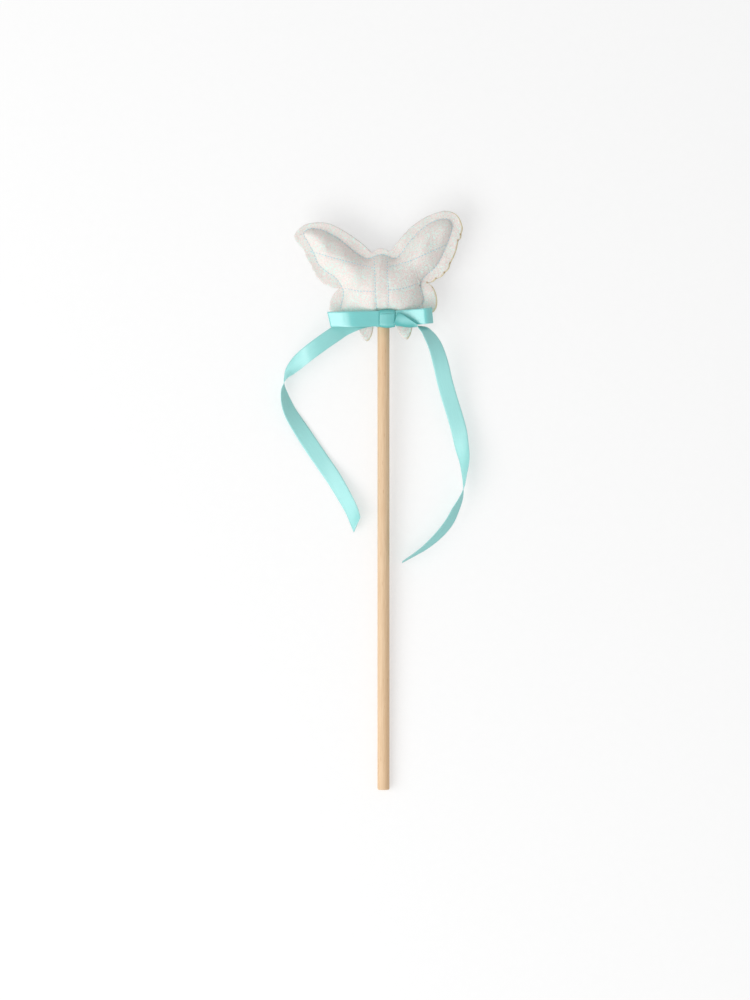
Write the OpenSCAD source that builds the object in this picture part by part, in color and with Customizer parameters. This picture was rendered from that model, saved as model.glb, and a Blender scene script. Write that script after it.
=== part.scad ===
// Toy magic wand: a stuffed butterfly of glitter cloth on a wooden dowel, with a satin ribbon bow.
// The wand lies on its back as in the photograph: +Y runs along the dowel to the head, +Z is up.
// The origin is on the table under the middle of the head.

/* [Dowel] */
// Dowel diameter
dowel_d = 8; // [5:0.5:12]
// Dowel length, the part inside the head included
dowel_l = 352.5; // [250:0.5:450]
// Depth of the dowel inside the head, from the mouth
dowel_in = 32; // [20:1:36]
// Eased corner of the dowel's ends
dowel_ease = 0.8; // [0.3:0.1:1.5]

/* [Head] */
// Width of the butterfly over both wing tips
head_w = 112; // [90:1:140]
// Height of the butterfly from the wing tops to the swallow tails
head_h = 87.4; // [70:0.2:110]
// Height of the filled dome on each side of the seam
crown = 13.7; // [10:0.1:18]
// Thickness of the glitter cloth
cloth_t = 0.8; // [0.5:0.1:1.2]
// How far each scallop of the wing edge bulges between its notches
scallop_rise = 0.9; // [0.4:0.1:1.4]
// Depth of the flat that the head rests on
rest_cut = 1.3; // [0.8:0.1:2]
// Sewing thread diameter
thread_d = 0.7; // [0.4:0.1:1]

/* [Ribbon] */
// Ribbon width
ribbon_w = 10.5; // [8:0.5:13]
// Ribbon thickness
ribbon_t = 0.4; // [0.3:0.05:0.6]
// Width of the gathered turns round the dowel
wrap_w = 8.6; // [6:0.2:9]
// Turns of ribbon round the dowel
wrap_turns = 3; // [1:1:3]
// Knot height along the dowel
knot_h = 10.7; // [8:0.1:12]
// Knot thickness out from the dowel
knot_t = 4.2; // [3:0.1:6]
// Length of the left loop from the knot
loop_left_l = 33.5; // [24:0.5:42]
// Length of the right loop from the knot
loop_right_l = 24.8; // [18:0.5:34]
// Height of a loop's belly
loop_h = 5; // [3.5:0.1:6]
// Drop of the left tail from its bend to its end
tail_left_l = 132; // [90:1:170]
// Drop of the right tail from its bend to its end
tail_right_l = 157; // [100:1:200]

/* [Fits] */
// Clear gap between soft pieces
fit_gap = 0.3; // [0.2:0.05:0.5]
// Room between the dowel and the cloth at the mouth
mouth_gap = 0.6; // [0.4:0.1:1]

/* [Hidden] */
$fn = 48;

// Places in the photograph, across and down, that the outlines below are read in
middle_px = [383.5, 284];
head_px = [168, 131];
mouth_px = [383.5, 310];
lip_px = [383.5, 313.2];
crown_px = [381.5, 284];
px_x = head_w / head_px[0];
px_y = head_h / head_px[1];

// Ribs across the butterfly from the left wing tip to the right one.
// Each row: lower seam, lower edge, upper seam, upper edge.
left_ribs_px = [
    [[308, 242], [298.3, 244], [309, 229.2], [303.5, 225.6]],
    [[313.5, 252], [304.2, 250.2], [317, 229.3], [314, 223]],
    [[318, 263], [312.3, 266.2], [325, 231.7], [325, 222.9]],
    [[322.3, 267.8], [315, 271.8], [331, 234.8], [333, 225]],
    [[327.5, 272], [319.2, 278.7], [337, 238], [341.5, 229.4]],
    [[335.5, 277.5], [326.2, 284.3], [345, 244.2], [350, 234.5]],
    [[342, 286.5], [339.4, 287.8], [353, 250.7], [357, 239.5]],
    [[344, 294], [333, 295], [360, 256], [364, 245]],
    [[342.3, 302], [330, 304], [366, 258.8], [369, 250]],
    [[341.5, 308.5], [332, 314], [370.5, 258.5], [372.1, 253.2]],
    [[351, 312], [356, 322], [373.6, 257], [374.8, 250.9]],
    [[361.5, 312.5], [359.3, 331.5], [376, 256], [377, 249.3]],
    [[367.5, 312.5], [365.2, 340.3], [378, 255.4], [379.3, 248.6]],
    [[372.5, 312], [371.3, 331.5], [379.5, 255.1], [381.3, 248.4]]];
right_ribs_px = [
    [[394.5, 311.5], [398.2, 331], [389.6, 257.4], [389.9, 252.4]],
    [[399.5, 311.5], [404.9, 337.9], [393, 258.9], [392.5, 248.7]],
    [[405, 311], [409.1, 332], [397, 257.8], [396, 243.8]],
    [[414, 309], [415, 321], [400.5, 255], [399.5, 239.4]],
    [[421.5, 304.5], [433.5, 311], [404, 250], [403.5, 234.6]],
    [[423, 297], [436.7, 299], [407.5, 245], [408, 230]],
    [[420.2, 289.5], [433, 287.5], [412, 239.5], [413, 225.4]],
    [[421, 281], [427, 282.5], [417, 234], [418.5, 221.4]],
    [[427, 274], [436, 278.3], [422, 229.3], [424.5, 217.7]],
    [[432, 270], [444.4, 272.5], [427.5, 225], [431, 214.7]],
    [[437.5, 263.5], [449.9, 263.4], [434, 221.6], [438.5, 212.2]],
    [[444, 250.5], [458, 240], [441, 219.6], [447, 210.8]],
    [[449, 238], [460.8, 234.2], [448, 219.8], [457, 215.2]]];
left_tip_px = [[304, 234], [294.3, 235]];
right_tip_px = [[452, 226], [462.2, 227]];
// Places of the ribs over the mouth, across it and along the top of the head
mouth_shares = [-1, -0.64, -0.3, 0, 0.3, 0.64, 1];
crest_seam_px = [[380.6, 255], [381.6, 255], [382.6, 255.1], [383.6, 255.2], [384.8, 255.4],
    [386.2, 255.8], [387.6, 256.4]];
crest_edge_px = [[382.4, 248.4], [383.4, 248.6], [384.4, 248.8], [385.4, 249.2], [386.6, 249.8],
    [387.8, 250.4], [388.9, 251.1]];
// Notches of the lower edge, and of the upper edge beside the head, by rib
low_notches = [2, 3, 4, 5, 6, 7, 15, 21, 29, 30, 31, 32, 33, 34];
high_notches = [10, 22];

// Decorative lines on the front panel
body_left_px = [[374.4, 260], [374.6, 268.5], [375.2, 280], [375.4, 291], [376, 301]];
body_right_px = [[387.4, 260], [387.2, 268.5], [387.9, 280], [388.6, 291], [388.3, 301]];
vein_upper_left_px = [[317, 253.1], [325, 255.5], [337.4, 259], [355, 263.5], [371.5, 267]];
vein_upper_right_px = [[391, 266.4], [400, 264], [410, 261], [428, 253], [443.5, 246.5]];
vein_lower_left_px = [[348, 289], [354, 290.2], [360, 291], [368, 291.2], [372.5, 291]];
vein_lower_right_px = [[391.5, 290], [398, 289.2], [405, 288], [410, 286.4], [415, 284.5]];

// Ribbon places: the middle of the knot, and the drop of each tail
knot_px = [387.3, 318.5];
tail_drops_px = [199, 235];
// Left tail from its bend: plan route, height share of the bend, turn of the ribbon about its run
tail_left_px = [[348, 325.5], [343.5, 328.5], [336, 333.6], [328, 339], [317.5, 346.5], [307.5, 354],
    [298, 362], [290, 370], [285.3, 377.5], [283.6, 384], [283.4, 391], [286, 402], [291, 414], [301, 430],
    [311.5, 446], [322.5, 462], [333.5, 478], [343, 494], [351.5, 510], [357, 525]];
tail_left_rise_shares = [1, 1, 0.985, 0.95, 0.86, 0.75, 0.63, 0.51, 0.43, 0.4, 0.38, 0.325, 0.26, 0.165,
    0.09, 0.08, 0.14, 0.24, 0.33, 0.42];
tail_left_turns = [0, 0, 2, 6, 14, 28, 46, 66, 82, 92, 108, 126, 142, 164, 178, 182, 194, 204, 214, 226];
// Right tail from its bend, written the same way
tail_right_px = [[414.5, 323.5], [419.5, 327], [424.5, 332], [430, 340], [436, 350], [441, 366], [445, 382],
    [449.5, 398], [454.5, 414], [459, 430], [462, 446], [464.4, 460], [464.6, 474], [464, 486], [461, 498],
    [455.5, 510], [449.5, 522], [440, 534], [427, 546], [415.5, 554], [402.5, 562]];
tail_right_rise_shares = [1, 1, 0.99, 0.95, 0.86, 0.7, 0.56, 0.45, 0.38, 0.34, 0.33, 0.34, 0.36, 0.38,
    0.36, 0.31, 0.25, 0.19, 0.22, 0.28, 0.36];
tail_right_turns = [0, 0, 8, 14, 12, 8, 4, 0, 2, 10, 28, 50, 72, 86, 104, 116, 126, 134, 128, 118, 100];
// Starts of the tails between the knot and the bends
root_left_px = [[380.6, 318.2], [377, 318.3], [372, 318.7], [364, 320], [356, 322.6], [348, 326],
    [344.5, 328]];
root_left_rise_shares = [0.945, 0.83, 0.65, 0.52, 0.46, 0.44, 0.44];
root_right_px = [[396, 318.4], [400, 318.6], [405, 320], [410, 322], [414.5, 324.1], [418, 326]];
root_right_rise_shares = [0.35, 0.62, 0.82, 0.92, 0.94, 0.94];

dowel_r = dowel_d / 2;
thread_r = thread_d / 2;
mouth_half = dowel_r + mouth_gap;
mouth_y = seen(mouth_px)[1];
lip_y = seen(lip_px)[1];
bow_y = seen(knot_px)[1];
knot_x = seen(knot_px)[0];
dowel_top = mouth_y + dowel_in;
dowel_out = dowel_l - dowel_top;
rest_h = crown + cloth_t - rest_cut;
tilt = asin(rest_h / norm([dowel_out, dowel_r])) - atan2(dowel_r, dowel_out);
wrap_r = dowel_r + ribbon_t / 4;
wrap_out = wrap_r + wrap_turns * ribbon_t;
// The knot's back clears the cloth's lip over the dowel
knot_z = max(mouth_half + cloth_t, wrap_out) + fit_gap;
loop_z = knot_z + knot_t / 2;
// Height of the tails' bend over the table, under the left loop and in front of the right one
bow_h = rest_h + bow_y * sin(tilt);
bend_left_z = bow_h + root_left_rise_shares[6] * knot_z - ribbon_t - 2 * fit_gap;
bend_right_z = bow_h + loop_z + root_right_rise_shares[5] * loop_h - ribbon_t - 2 * fit_gap;
overrun = dowel_d;

// Turns a place in the photograph into one on the wand, in the plane of the seam.
function seen(p) = [(p[0] - middle_px[0]) * px_x, (middle_px[1] - p[1]) * px_y];

// Ribs in millimetres, with those over the mouth set by the dowel.
mouth_ribs = [for (i = [0:len(mouth_shares) - 1])
    let (k = mouth_shares[i], lip_half = abs(k) == 1 ? wrap_out + 2 * fit_gap : mouth_half)
    [[k * mouth_half, mouth_y], [k * lip_half, lip_y], seen(crest_seam_px[i]), seen(crest_edge_px[i])]];
ribs = concat([for (r = left_ribs_px) [for (p = r) seen(p)]], mouth_ribs,
    [for (r = right_ribs_px) [for (p = r) seen(p)]]);
rib_n = len(ribs);
tips = [[for (p = left_tip_px) seen(p)], [for (p = right_tip_px) seen(p)]];
low_seam = concat([tips[0][0]], [for (r = ribs) r[0]], [tips[1][0]]);
high_seam = concat([tips[0][0]], [for (r = ribs) r[2]], [tips[1][0]]);
low_edge = concat([tips[0][1]], [for (r = ribs) r[1]], [tips[1][1]]);
high_edge = concat([tips[0][1]], [for (r = ribs) r[3]], [tips[1][1]]);
seam_loop = concat(low_seam, [for (i = [rib_n:-1:1]) high_seam[i]]);

// Share of the way across a rib at which the dome is sampled.
across_shares = [0, 0.06, 0.18, 0.34, 0.5, 0.66, 0.82, 0.94, 1];
across_n = len(across_shares);

function flat_cross(a, b) = a[0] * b[1] - a[1] * b[0];
function is_in(x, list) = len([for (v = list) if (v == x) v]) > 0;

// Pull of one seam segment on a point: the closed form of the inverse cube of distance along it.
function pull(p, a, b) =
    let (d = b - a, l = norm(d), u = d / l, s = (a - p) * u, h = flat_cross(u, p - a), hh = h * h + 1e-6)
    ((s + l) / sqrt((s + l) * (s + l) + hh) - s / sqrt(s * s + hh)) / hh;
function sum(v, i = 0) = i >= len(v) ? 0 : v[i] + sum(v, i + 1);
// Distance to the whole seam, smooth along the middle of a wing.
function seam_reach(p) =
    let (n = len(seam_loop))
    1 / sqrt(sum([for (i = [0:n - 1]) pull(p, seam_loop[i], seam_loop[(i + 1) % n])]) / 2);
crown_reach = seam_reach(seen(crown_px));
dome_power = 0.8;
function dome(p) = crown * pow(min(1.06, seam_reach(p) / crown_reach), dome_power);
// Arch of the cloth over the dowel.
function arch(p) =
    let (k = p[0] / mouth_half)
    (abs(k) >= 1 || p[1] > dowel_top) ? 0 : mouth_half * sqrt(1 - k * k);
function lift(p) = pow(pow(dome(p), 4) + pow(arch(p), 4), 1 / 4);
// The table, seen from the wand, which lies tilted on it.
function table(y) = -(rest_h + y * sin(tilt)) / cos(tilt);

// Grid of the dome, rib by rib, as [x, y, height of the cloth's inner face].
function rib_point(i, s) = low_seam[i] + (high_seam[i] - low_seam[i]) * s;
function rib_height(i, s) =
    (s == 0) ? arch(low_seam[i]) : (s == 1) ? 0 : lift(rib_point(i, s));
dome_grid = [for (i = [1:rib_n]) [for (s = across_shares)
    let (p = rib_point(i, s)) [p[0], p[1], rib_height(i, s)]]];

// Edge of the margin: a smooth curve between notches, and a bulge from notch to notch.
edge_steps = 3;
function curve(a, b, c, d, t) =
    (2 * b + (c - a) * t + (2 * a - 5 * b + 4 * c - d) * t * t + (3 * b - a - 3 * c + d) * t * t * t) / 2;
function edge_at(list, before, after, notches, i, t) =
    let (b = list[i], c = list[i + 1], nb = is_in(i, notches), nc = is_in(i + 1, notches),
        a = nb ? 2 * b - c : i > 0 ? list[i - 1] : before,
        d = nc ? 2 * c - b : i + 2 < len(list) ? list[i + 2] : after,
        u = (c - b) / norm(c - b),
        over_mouth = i >= 15 && i < 21,
        rise = nb && nc && !over_mouth ? scallop_rise * sin(180 * t) : 0)
    over_mouth ? b + (c - b) * t : curve(a, b, c, d, t) + rise * [u[1], -u[0]];
low_rim = [for (i = [0:rib_n]) for (k = [0:edge_steps - 1])
    edge_at(low_edge, high_edge[1], high_edge[rib_n], low_notches, i, k / edge_steps)];
high_rim = [for (i = [0:rib_n]) for (k = [0:edge_steps - 1])
    edge_at(high_edge, low_edge[1], low_edge[rib_n], high_notches, i, k / edge_steps)];
rim_n = len(low_rim);
// The whole rim as one loop: the lower edge to the right, then the upper edge back to the left.
rim = concat(low_rim, [tips[1][1]], [for (k = [rim_n - 1:-1:1]) high_rim[k]]);

// Vertex numbers of one face of a panel: grid first, then the two tips, then the rim.
grid_n = rib_n * across_n;
function at(i, j) = (i - 1) * across_n + j;
left_tip_at = grid_n;
right_tip_at = grid_n + 1;
rim_at = grid_n + 2;
rim_all = len(rim);
function low_at(i) = i == 0 ? left_tip_at : i > rib_n ? right_tip_at : at(i, 0);
function high_at(i) = i == 0 ? left_tip_at : i > rib_n ? right_tip_at : at(i, across_n - 1);
function rim_low_at(k) = rim_at + k;
function rim_high_at(k) = rim_at + (k == 0 ? 0 : rim_all - k);

// Faces of a panel's outer skin, seen from outside: dome, fans at the tips, and margin.
dome_faces = concat(
    [for (i = [1:rib_n - 1]) for (j = [0:across_n - 2]) each [
        [at(i, j), at(i + 1, j + 1), at(i + 1, j)],
        [at(i, j), at(i, j + 1), at(i + 1, j + 1)]]],
    [for (j = [0:across_n - 2]) each [
        [left_tip_at, at(1, j + 1), at(1, j)],
        [right_tip_at, at(rib_n, j), at(rib_n, j + 1)]]]);
margin_faces = concat(
    [for (i = [0:rib_n]) for (k = [0:edge_steps - 1])
        [low_at(i), rim_low_at(i * edge_steps + k + 1), rim_low_at(i * edge_steps + k)]],
    [for (i = [0:rib_n]) [low_at(i), low_at(i + 1), rim_low_at((i + 1) * edge_steps)]],
    [for (i = [0:rib_n]) for (k = [0:edge_steps - 1])
        [high_at(i), rim_high_at(i * edge_steps + k), rim_high_at(i * edge_steps + k + 1)]],
    [for (i = [0:rib_n]) [high_at(i), rim_high_at((i + 1) * edge_steps), high_at(i + 1)]]);
skin_faces = concat(dome_faces, margin_faces);
skin_n = rim_at + rim_all;

// Height of a rim point: flat, apart from the lip over the dowel.
function rim_height(p) = (p[1] > lip_y - fit_gap && p[1] < mouth_y) ? arch(p) : 0;
skin = concat([for (r = dome_grid) each r], [for (t = tips) [t[0][0], t[0][1], 0]],
    [for (p = rim) [p[0], p[1], rim_height(p)]]);

function flipped(faces) = [for (f = faces) [f[0], f[2], f[1]]];
function shifted(faces, n) = [for (f = faces) [for (v = f) v + n]];
// Walls between the outer and inner skins along the rim.
rim_walls = [for (k = [0:rim_all - 1]) let (a = rim_at + k, b = rim_at + (k + 1) % rim_all) each [
    [a, b, b + skin_n], [a, b + skin_n, a + skin_n]]];

module laid() {
    translate([0, 0, rest_h])
        rotate([tilt, 0, 0])
            children();
}

module front_panel() {
    outer = [for (p = skin) [p[0], p[1], p[2] + cloth_t]];
    color("whitesmoke")
        laid()
            polyhedron(concat(outer, skin),
                concat(skin_faces, shifted(flipped(skin_faces), skin_n), rim_walls));
}

// The back panel mirrors the front one and is flat where it rests on the table.
module back_panel() {
    outer = [for (p = skin) [p[0], p[1], -p[2] - cloth_t]];
    inner = [for (p = skin) [p[0], p[1], max(-p[2], table(p[1]) + cloth_t)]];
    color("gainsboro")
        difference() {
            laid()
                polyhedron(concat(outer, inner),
                    concat(flipped(skin_faces), shifted(skin_faces, skin_n), flipped(rim_walls)));
            translate([-head_w / 2, -head_h, -crown])
                cube([head_w, 2 * head_h, crown]);
        }
}

// Filling: the space between the panels less a gap, with a hole for the dowel.
fill_shares = [for (j = [2:across_n - 2]) across_shares[j]];
fill_first = 3;
fill_last = rib_n - 2;
module stuffing() {
    cols = len(fill_shares);
    rows = fill_last - fill_first + 1;
    plan = [for (i = [fill_first:fill_last]) [for (s = fill_shares)
        let (p = rib_point(i, s)) [p[0], p[1], lift(p) - fit_gap]]];
    top = [for (r = plan) each r];
    low = [for (p = top) [p[0], p[1], max(-p[2], table(p[1]) + cloth_t + fit_gap)]];
    n = rows * cols;
    sheet = [for (i = [0:rows - 2]) for (j = [0:cols - 2]) let (a = i * cols + j) each [
        [a, a + cols + 1, a + cols], [a, a + 1, a + cols + 1]]];
    ring = concat([for (i = [0:rows - 1]) i * cols], [for (j = [1:cols - 1]) (rows - 1) * cols + j],
        [for (i = [rows - 2:-1:0]) i * cols + cols - 1], [for (j = [cols - 2:-1:1]) j]);
    m = len(ring);
    walls = [for (k = [0:m - 1]) let (a = ring[k], b = ring[(k + 1) % m]) each [
        [a, b, b + n], [a, b + n, a + n]]];
    color("ivory")
        laid()
            difference() {
                polyhedron(concat(top, low), concat(sheet, shifted(flipped(sheet), n), walls));
                translate([0, dowel_top + fit_gap, 0])
                    rotate([90, 0, 0])
                        cylinder(r = dowel_r + fit_gap, h = dowel_in + overrun);
            }
}

module dowel() {
    color("burlywood")
        laid()
            translate([0, -dowel_out, 0])
                rotate([-90, 0, 0])
                    rotate_extrude()
                        polygon([[0, 0], [dowel_r - dowel_ease, 0],
                            [dowel_r - dowel_ease * 0.3, dowel_ease * 0.3], [dowel_r, dowel_ease],
                            [dowel_r, dowel_l - dowel_ease],
                            [dowel_r - dowel_ease * 0.3, dowel_l - dowel_ease * 0.3],
                            [dowel_r - dowel_ease, dowel_l], [0, dowel_l]]);
}

// Solid swept through rings of points, all of one count, with flat ends.
// The second half of a ring is split along the other diagonal, so a twisted ribbon's two faces run alike.
module swept(rings) {
    m = len(rings[0]);
    n = len(rings);
    sides = [for (i = [0:n - 2]) for (j = [0:m - 1])
        let (a = i * m + j, b = i * m + (j + 1) % m) each j < m / 2
            ? [[a, b, b + m], [a, b + m, a + m]] : [[a, b, a + m], [b, b + m, a + m]]];
    caps = concat([for (j = [1:m - 2]) [0, j + 1, j]],
        [for (j = [1:m - 2]) [(n - 1) * m, (n - 1) * m + j, (n - 1) * m + j + 1]]);
    polyhedron([for (r = rings) each r], concat(sides, caps));
}

function unit(v) = v / norm(v);
function run_at(path, i) = unit(path[min(i + 1, len(path) - 1)] - path[max(i - 1, 0)]);
// Smooth curve through a list of places, with a number of steps between them.
function through(list, steps) = concat(
    [for (i = [0:len(list) - 2]) for (k = [0:steps - 1])
        let (b = list[i], c = list[i + 1], a = i > 0 ? list[i - 1] : 2 * b - c,
            d = i + 2 < len(list) ? list[i + 2] : 2 * c - b)
        curve(a, b, c, d, k / steps)],
    [list[len(list) - 1]]);

// Thread: a thin tube of five sides along a path.
thread_sides = 5;
module thread(path) {
    swept([for (i = [0:len(path) - 1])
        let (t = run_at(path, i), s = unit(cross([0, 0, 1], t)), u = cross(t, s))
        [for (k = [0:thread_sides - 1]) let (a = 360 * k / thread_sides)
            path[i] + thread_r * (cos(a) * s + sin(a) * u)]]);
}

// Perimeter stitching, from one side of the mouth round to the other, just outside the dome.
seam_out = thread_r + 2 * fit_gap;
function beside(s, e) = s + unit(e - s) * seam_out;
seam_path = concat([for (i = [14:-1:0]) beside(low_seam[i], low_edge[i])],
    [for (i = [1:rib_n + 1]) beside(high_seam[i], high_edge[i])],
    [for (i = [rib_n:-1:22]) beside(low_seam[i], low_edge[i])]);
module seam_thread(side) {
    z = side * (cloth_t + thread_r + fit_gap / 2);
    color("lightblue")
        laid()
            thread([for (p = seam_path) [p[0], p[1], z]]);
}
module seam_thread_front() {
    seam_thread(1);
}
module seam_thread_back() {
    seam_thread(-1);
}

// A line of stitching over the front dome.
line_steps = 4;
line_gap = 1.5 * fit_gap;
module sewn_line(px) {
    path = through([for (p = px) seen(p)], line_steps);
    color("lightblue")
        laid()
            thread([for (p = path) [p[0], p[1], lift(p) + cloth_t + thread_r + line_gap]]);
}
module body_thread_left() {
    sewn_line(body_left_px);
}
module body_thread_right() {
    sewn_line(body_right_px);
}
module vein_thread_upper_left() {
    sewn_line(vein_upper_left_px);
}
module vein_thread_upper_right() {
    sewn_line(vein_upper_right_px);
}
module vein_thread_lower_left() {
    sewn_line(vein_lower_left_px);
}
module vein_thread_lower_right() {
    sewn_line(vein_lower_right_px);
}

// Ribbon turns round the bare dowel, between the swallow tails.
wrap_top = lip_y - fit_gap;
module ribbon_wrap() {
    color("mediumturquoise")
        laid()
            translate([0, wrap_top, 0])
                rotate([90, 0, 0])
                    difference() {
                        cylinder(r = wrap_out, h = wrap_w);
                        translate([0, 0, -overrun])
                            cylinder(r = wrap_r, h = wrap_w + 2 * overrun);
                    }
}

// Knot: ribbon folded tight, round over its top and bottom edges.
module bow_knot() {
    round_r = knot_t / 2;
    color("turquoise")
        laid()
            translate([knot_x - ribbon_w / 2, bow_y, loop_z])
                rotate([90, 0, 90])
                    linear_extrude(ribbon_w) {
                        square([knot_h - knot_t, knot_t], center = true);
                        for (s = [-1, 1])
                            translate([s * (knot_h / 2 - round_r), 0])
                                circle(round_r);
                    }
}

// Loop: a flat drop of ribbon, pinched at the knot. Its front layer rises to a crest, slopes to the fold at
// the far end and comes back flat behind. Each row: share of the length, share of the belly's height.
loop_left_shares = [[0, 0.16], [0.15, 0.42], [0.33, 0.72], [0.51, 0.98], [0.61, 1.06], [0.72, 0.88],
    [0.84, 0.52], [0.93, 0.24], [0.98, 0.06], [1, -0.07], [0.985, -0.18], [0.94, -0.22], [0.84, -0.22],
    [0.54, -0.22], [0.24, -0.2], [0, -0.14]];
loop_right_shares = [[0, 0.16], [0.24, 0.26], [0.44, 0.38], [0.6, 0.5], [0.76, 0.6], [0.86, 0.58],
    [0.94, 0.42], [0.985, 0.18], [1, 0], [0.98, -0.15], [0.92, -0.2], [0.8, -0.2], [0.48, -0.2],
    [0.2, -0.18], [0, -0.14]];
loop_steps = 4;
module loop(length, rise, shares) {
    path = through([for (p = shares) [p[0] * length, p[1] * rise]], loop_steps);
    last = len(path) - 1;
    normals = [for (i = [0:last]) let (t = run_at(path, i)) [t[1], -t[0]]];
    rotate([90, 0, 0])
        linear_extrude(ribbon_w, center = true)
            polygon(concat([for (i = [0:last]) path[i] + normals[i] * ribbon_t / 2],
                [for (i = [last:-1:0]) path[i] - normals[i] * ribbon_t / 2]));
}
loop_left_turn = 181;
loop_right_turn = 5;
module bow_loop_left() {
    color("turquoise")
        laid()
            translate([knot_x - ribbon_w / 2 * (1 + abs(sin(loop_left_turn))) - fit_gap, bow_y, loop_z])
                rotate([0, 0, loop_left_turn])
                    loop(loop_left_l, loop_h, loop_left_shares);
}
module bow_loop_right() {
    color("turquoise")
        laid()
            translate([knot_x + ribbon_w / 2 * (1 + abs(sin(loop_right_turn))) + fit_gap, bow_y, loop_z])
                rotate([0, 0, loop_right_turn])
                    loop(loop_right_l, loop_h, loop_right_shares);
}

// The right tail starts at the knot's right face.
right_start = knot_x + ribbon_w / 2 + 2 * fit_gap - seen(root_right_px[0])[0];

// Ribbon along a route, turned about its run by an angle at each place.
module ribbon(path, turns) {
    swept([for (i = [0:len(path) - 1])
        let (t = run_at(path, i), n = unit(cross([0, 0, 1], t)), u = cross(t, n),
            w = cos(turns[i]) * n + sin(turns[i]) * u, h = cross(t, w))
        [path[i] + w * ribbon_w / 2 + h * ribbon_t / 2, path[i] - w * ribbon_w / 2 + h * ribbon_t / 2,
            path[i] - w * ribbon_w / 2 - h * ribbon_t / 2, path[i] + w * ribbon_w / 2 - h * ribbon_t / 2]]);
}

// Starts of the tails, fixed to the bow.
root_steps = 2;
module tail_root_left() {
    path = through([for (i = [0:len(root_left_px) - 1])
        let (p = seen(root_left_px[i])) [p[0], p[1], root_left_rise_shares[i] * knot_z]], root_steps);
    color("paleturquoise")
        laid()
            ribbon(path, [for (p = path) 0]);
}
module tail_root_right() {
    path = through([for (i = [0:len(root_right_px) - 1])
        let (p = seen(root_right_px[i]))
        [p[0] + right_start, p[1], loop_z + root_right_rise_shares[i] * loop_h]], root_steps);
    color("paleturquoise")
        laid()
            ribbon(path, [for (p = path) 0]);
}

// Free tails, lying on the table beside the dowel; they swing about their bends.
tail_steps = 5;
function tail_path(px, rises, scale, start, bend_z) =
    let (first = seen(px[0]) + [start, 0])
    through([for (i = [0:len(px) - 1]) let (p = (px[i] - px[0]) * scale)
        [first[0] + p[0], first[1] - p[1], rises[i] * bend_z]], tail_steps);
module tail_left() {
    color("paleturquoise")
        ribbon(tail_path(tail_left_px, tail_left_rise_shares, tail_left_l / tail_drops_px[0], 0,
            bend_left_z), through(tail_left_turns, tail_steps));
}
module tail_right() {
    color("paleturquoise")
        ribbon(tail_path(tail_right_px, tail_right_rise_shares, tail_right_l / tail_drops_px[1],
            right_start, bend_right_z), through(tail_right_turns, tail_steps));
}

dowel();
stuffing();
front_panel();
back_panel();
seam_thread_front();
seam_thread_back();
body_thread_left();
body_thread_right();
vein_thread_upper_left();
vein_thread_upper_right();
vein_thread_lower_left();
vein_thread_lower_right();
ribbon_wrap();
bow_knot();
bow_loop_left();
bow_loop_right();
tail_root_left();
tail_root_right();
tail_left();
tail_right();
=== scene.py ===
# %% [markdown]
# # A butterfly wand
# A stuffed butterfly of white glitter cloth sits on a wooden dowel, and a turquoise satin ribbon is tied in
# a bow under it. The wand lies on its back on a white table and is seen from straight above. The solid
# model gives the frame. This script dresses it: cloth, stitches, filling, ribbon and wood.

# %% Load the solid model
import math
import bmesh
import bpy
import numpy as np
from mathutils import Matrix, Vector
from mathutils.bvhtree import BVHTree


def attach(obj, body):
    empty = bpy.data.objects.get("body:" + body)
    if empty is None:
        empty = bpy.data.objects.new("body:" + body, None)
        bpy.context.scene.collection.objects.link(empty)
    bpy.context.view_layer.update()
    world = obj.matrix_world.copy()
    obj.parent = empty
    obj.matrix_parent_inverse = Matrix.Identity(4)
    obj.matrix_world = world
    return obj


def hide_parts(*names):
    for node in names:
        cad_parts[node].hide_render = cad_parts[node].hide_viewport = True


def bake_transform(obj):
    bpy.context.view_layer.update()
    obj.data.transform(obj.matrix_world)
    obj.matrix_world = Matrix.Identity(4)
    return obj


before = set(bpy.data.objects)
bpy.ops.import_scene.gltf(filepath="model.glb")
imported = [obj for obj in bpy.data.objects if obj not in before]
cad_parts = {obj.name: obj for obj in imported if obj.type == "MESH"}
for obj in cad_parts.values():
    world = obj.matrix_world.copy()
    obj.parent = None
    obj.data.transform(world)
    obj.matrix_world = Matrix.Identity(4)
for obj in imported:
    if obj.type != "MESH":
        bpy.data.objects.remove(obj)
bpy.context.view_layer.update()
bpy.ops.object.select_all(action="DESELECT")

# %% [markdown]
# ## Camera, table and light
# The wand was seen from far above, so a long lens 6 m away keeps every line upright and adds almost no
# perspective. One pixel of the picture is two thirds of a millimetre, which sets the lens.

# %% Camera
MM = 0.001
# The head over its cut edge in millimetres, and the pixels that it takes up.
HEAD_WIDE = 112
HEAD_LONG = 87.4
PIXEL_X = HEAD_WIDE / 168 * MM
PIXEL_Y = HEAD_LONG / 131 * MM
# The pixel where the wand's own zero is, and the size of the picture.
MIDDLE = (383.5, 284.0)
PICTURE = (750, 1000)
# The camera's way from the plane of the seam, and that plane's height, in metres. The sensor is in
# millimetres.
CAMERA_AWAY = 6.0
SEAM_H = 13 * MM
SENSOR = 36


def seen(places):
    """Places in the picture, in pixels, as metres across and along the wand."""
    p = np.asarray(places, float)
    return np.stack([(p[..., 0] - MIDDLE[0]) * PIXEL_X, (MIDDLE[1] - p[..., 1]) * PIXEL_Y], -1)


centre = seen((PICTURE[0] / 2, PICTURE[1] / 2))
bpy.ops.object.camera_add(location=(centre[0], centre[1], SEAM_H + CAMERA_AWAY), rotation=(0, 0, 0))
camera = bpy.context.object
camera.name = "camera_above"
camera.data.lens = SENSOR * CAMERA_AWAY / (PICTURE[1] * PIXEL_Y)
camera.data.clip_end = 50
bpy.context.scene.camera = camera
bpy.context.scene.view_settings.view_transform = "Standard"
print("lens", round(camera.data.lens, 1), "mm")

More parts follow.
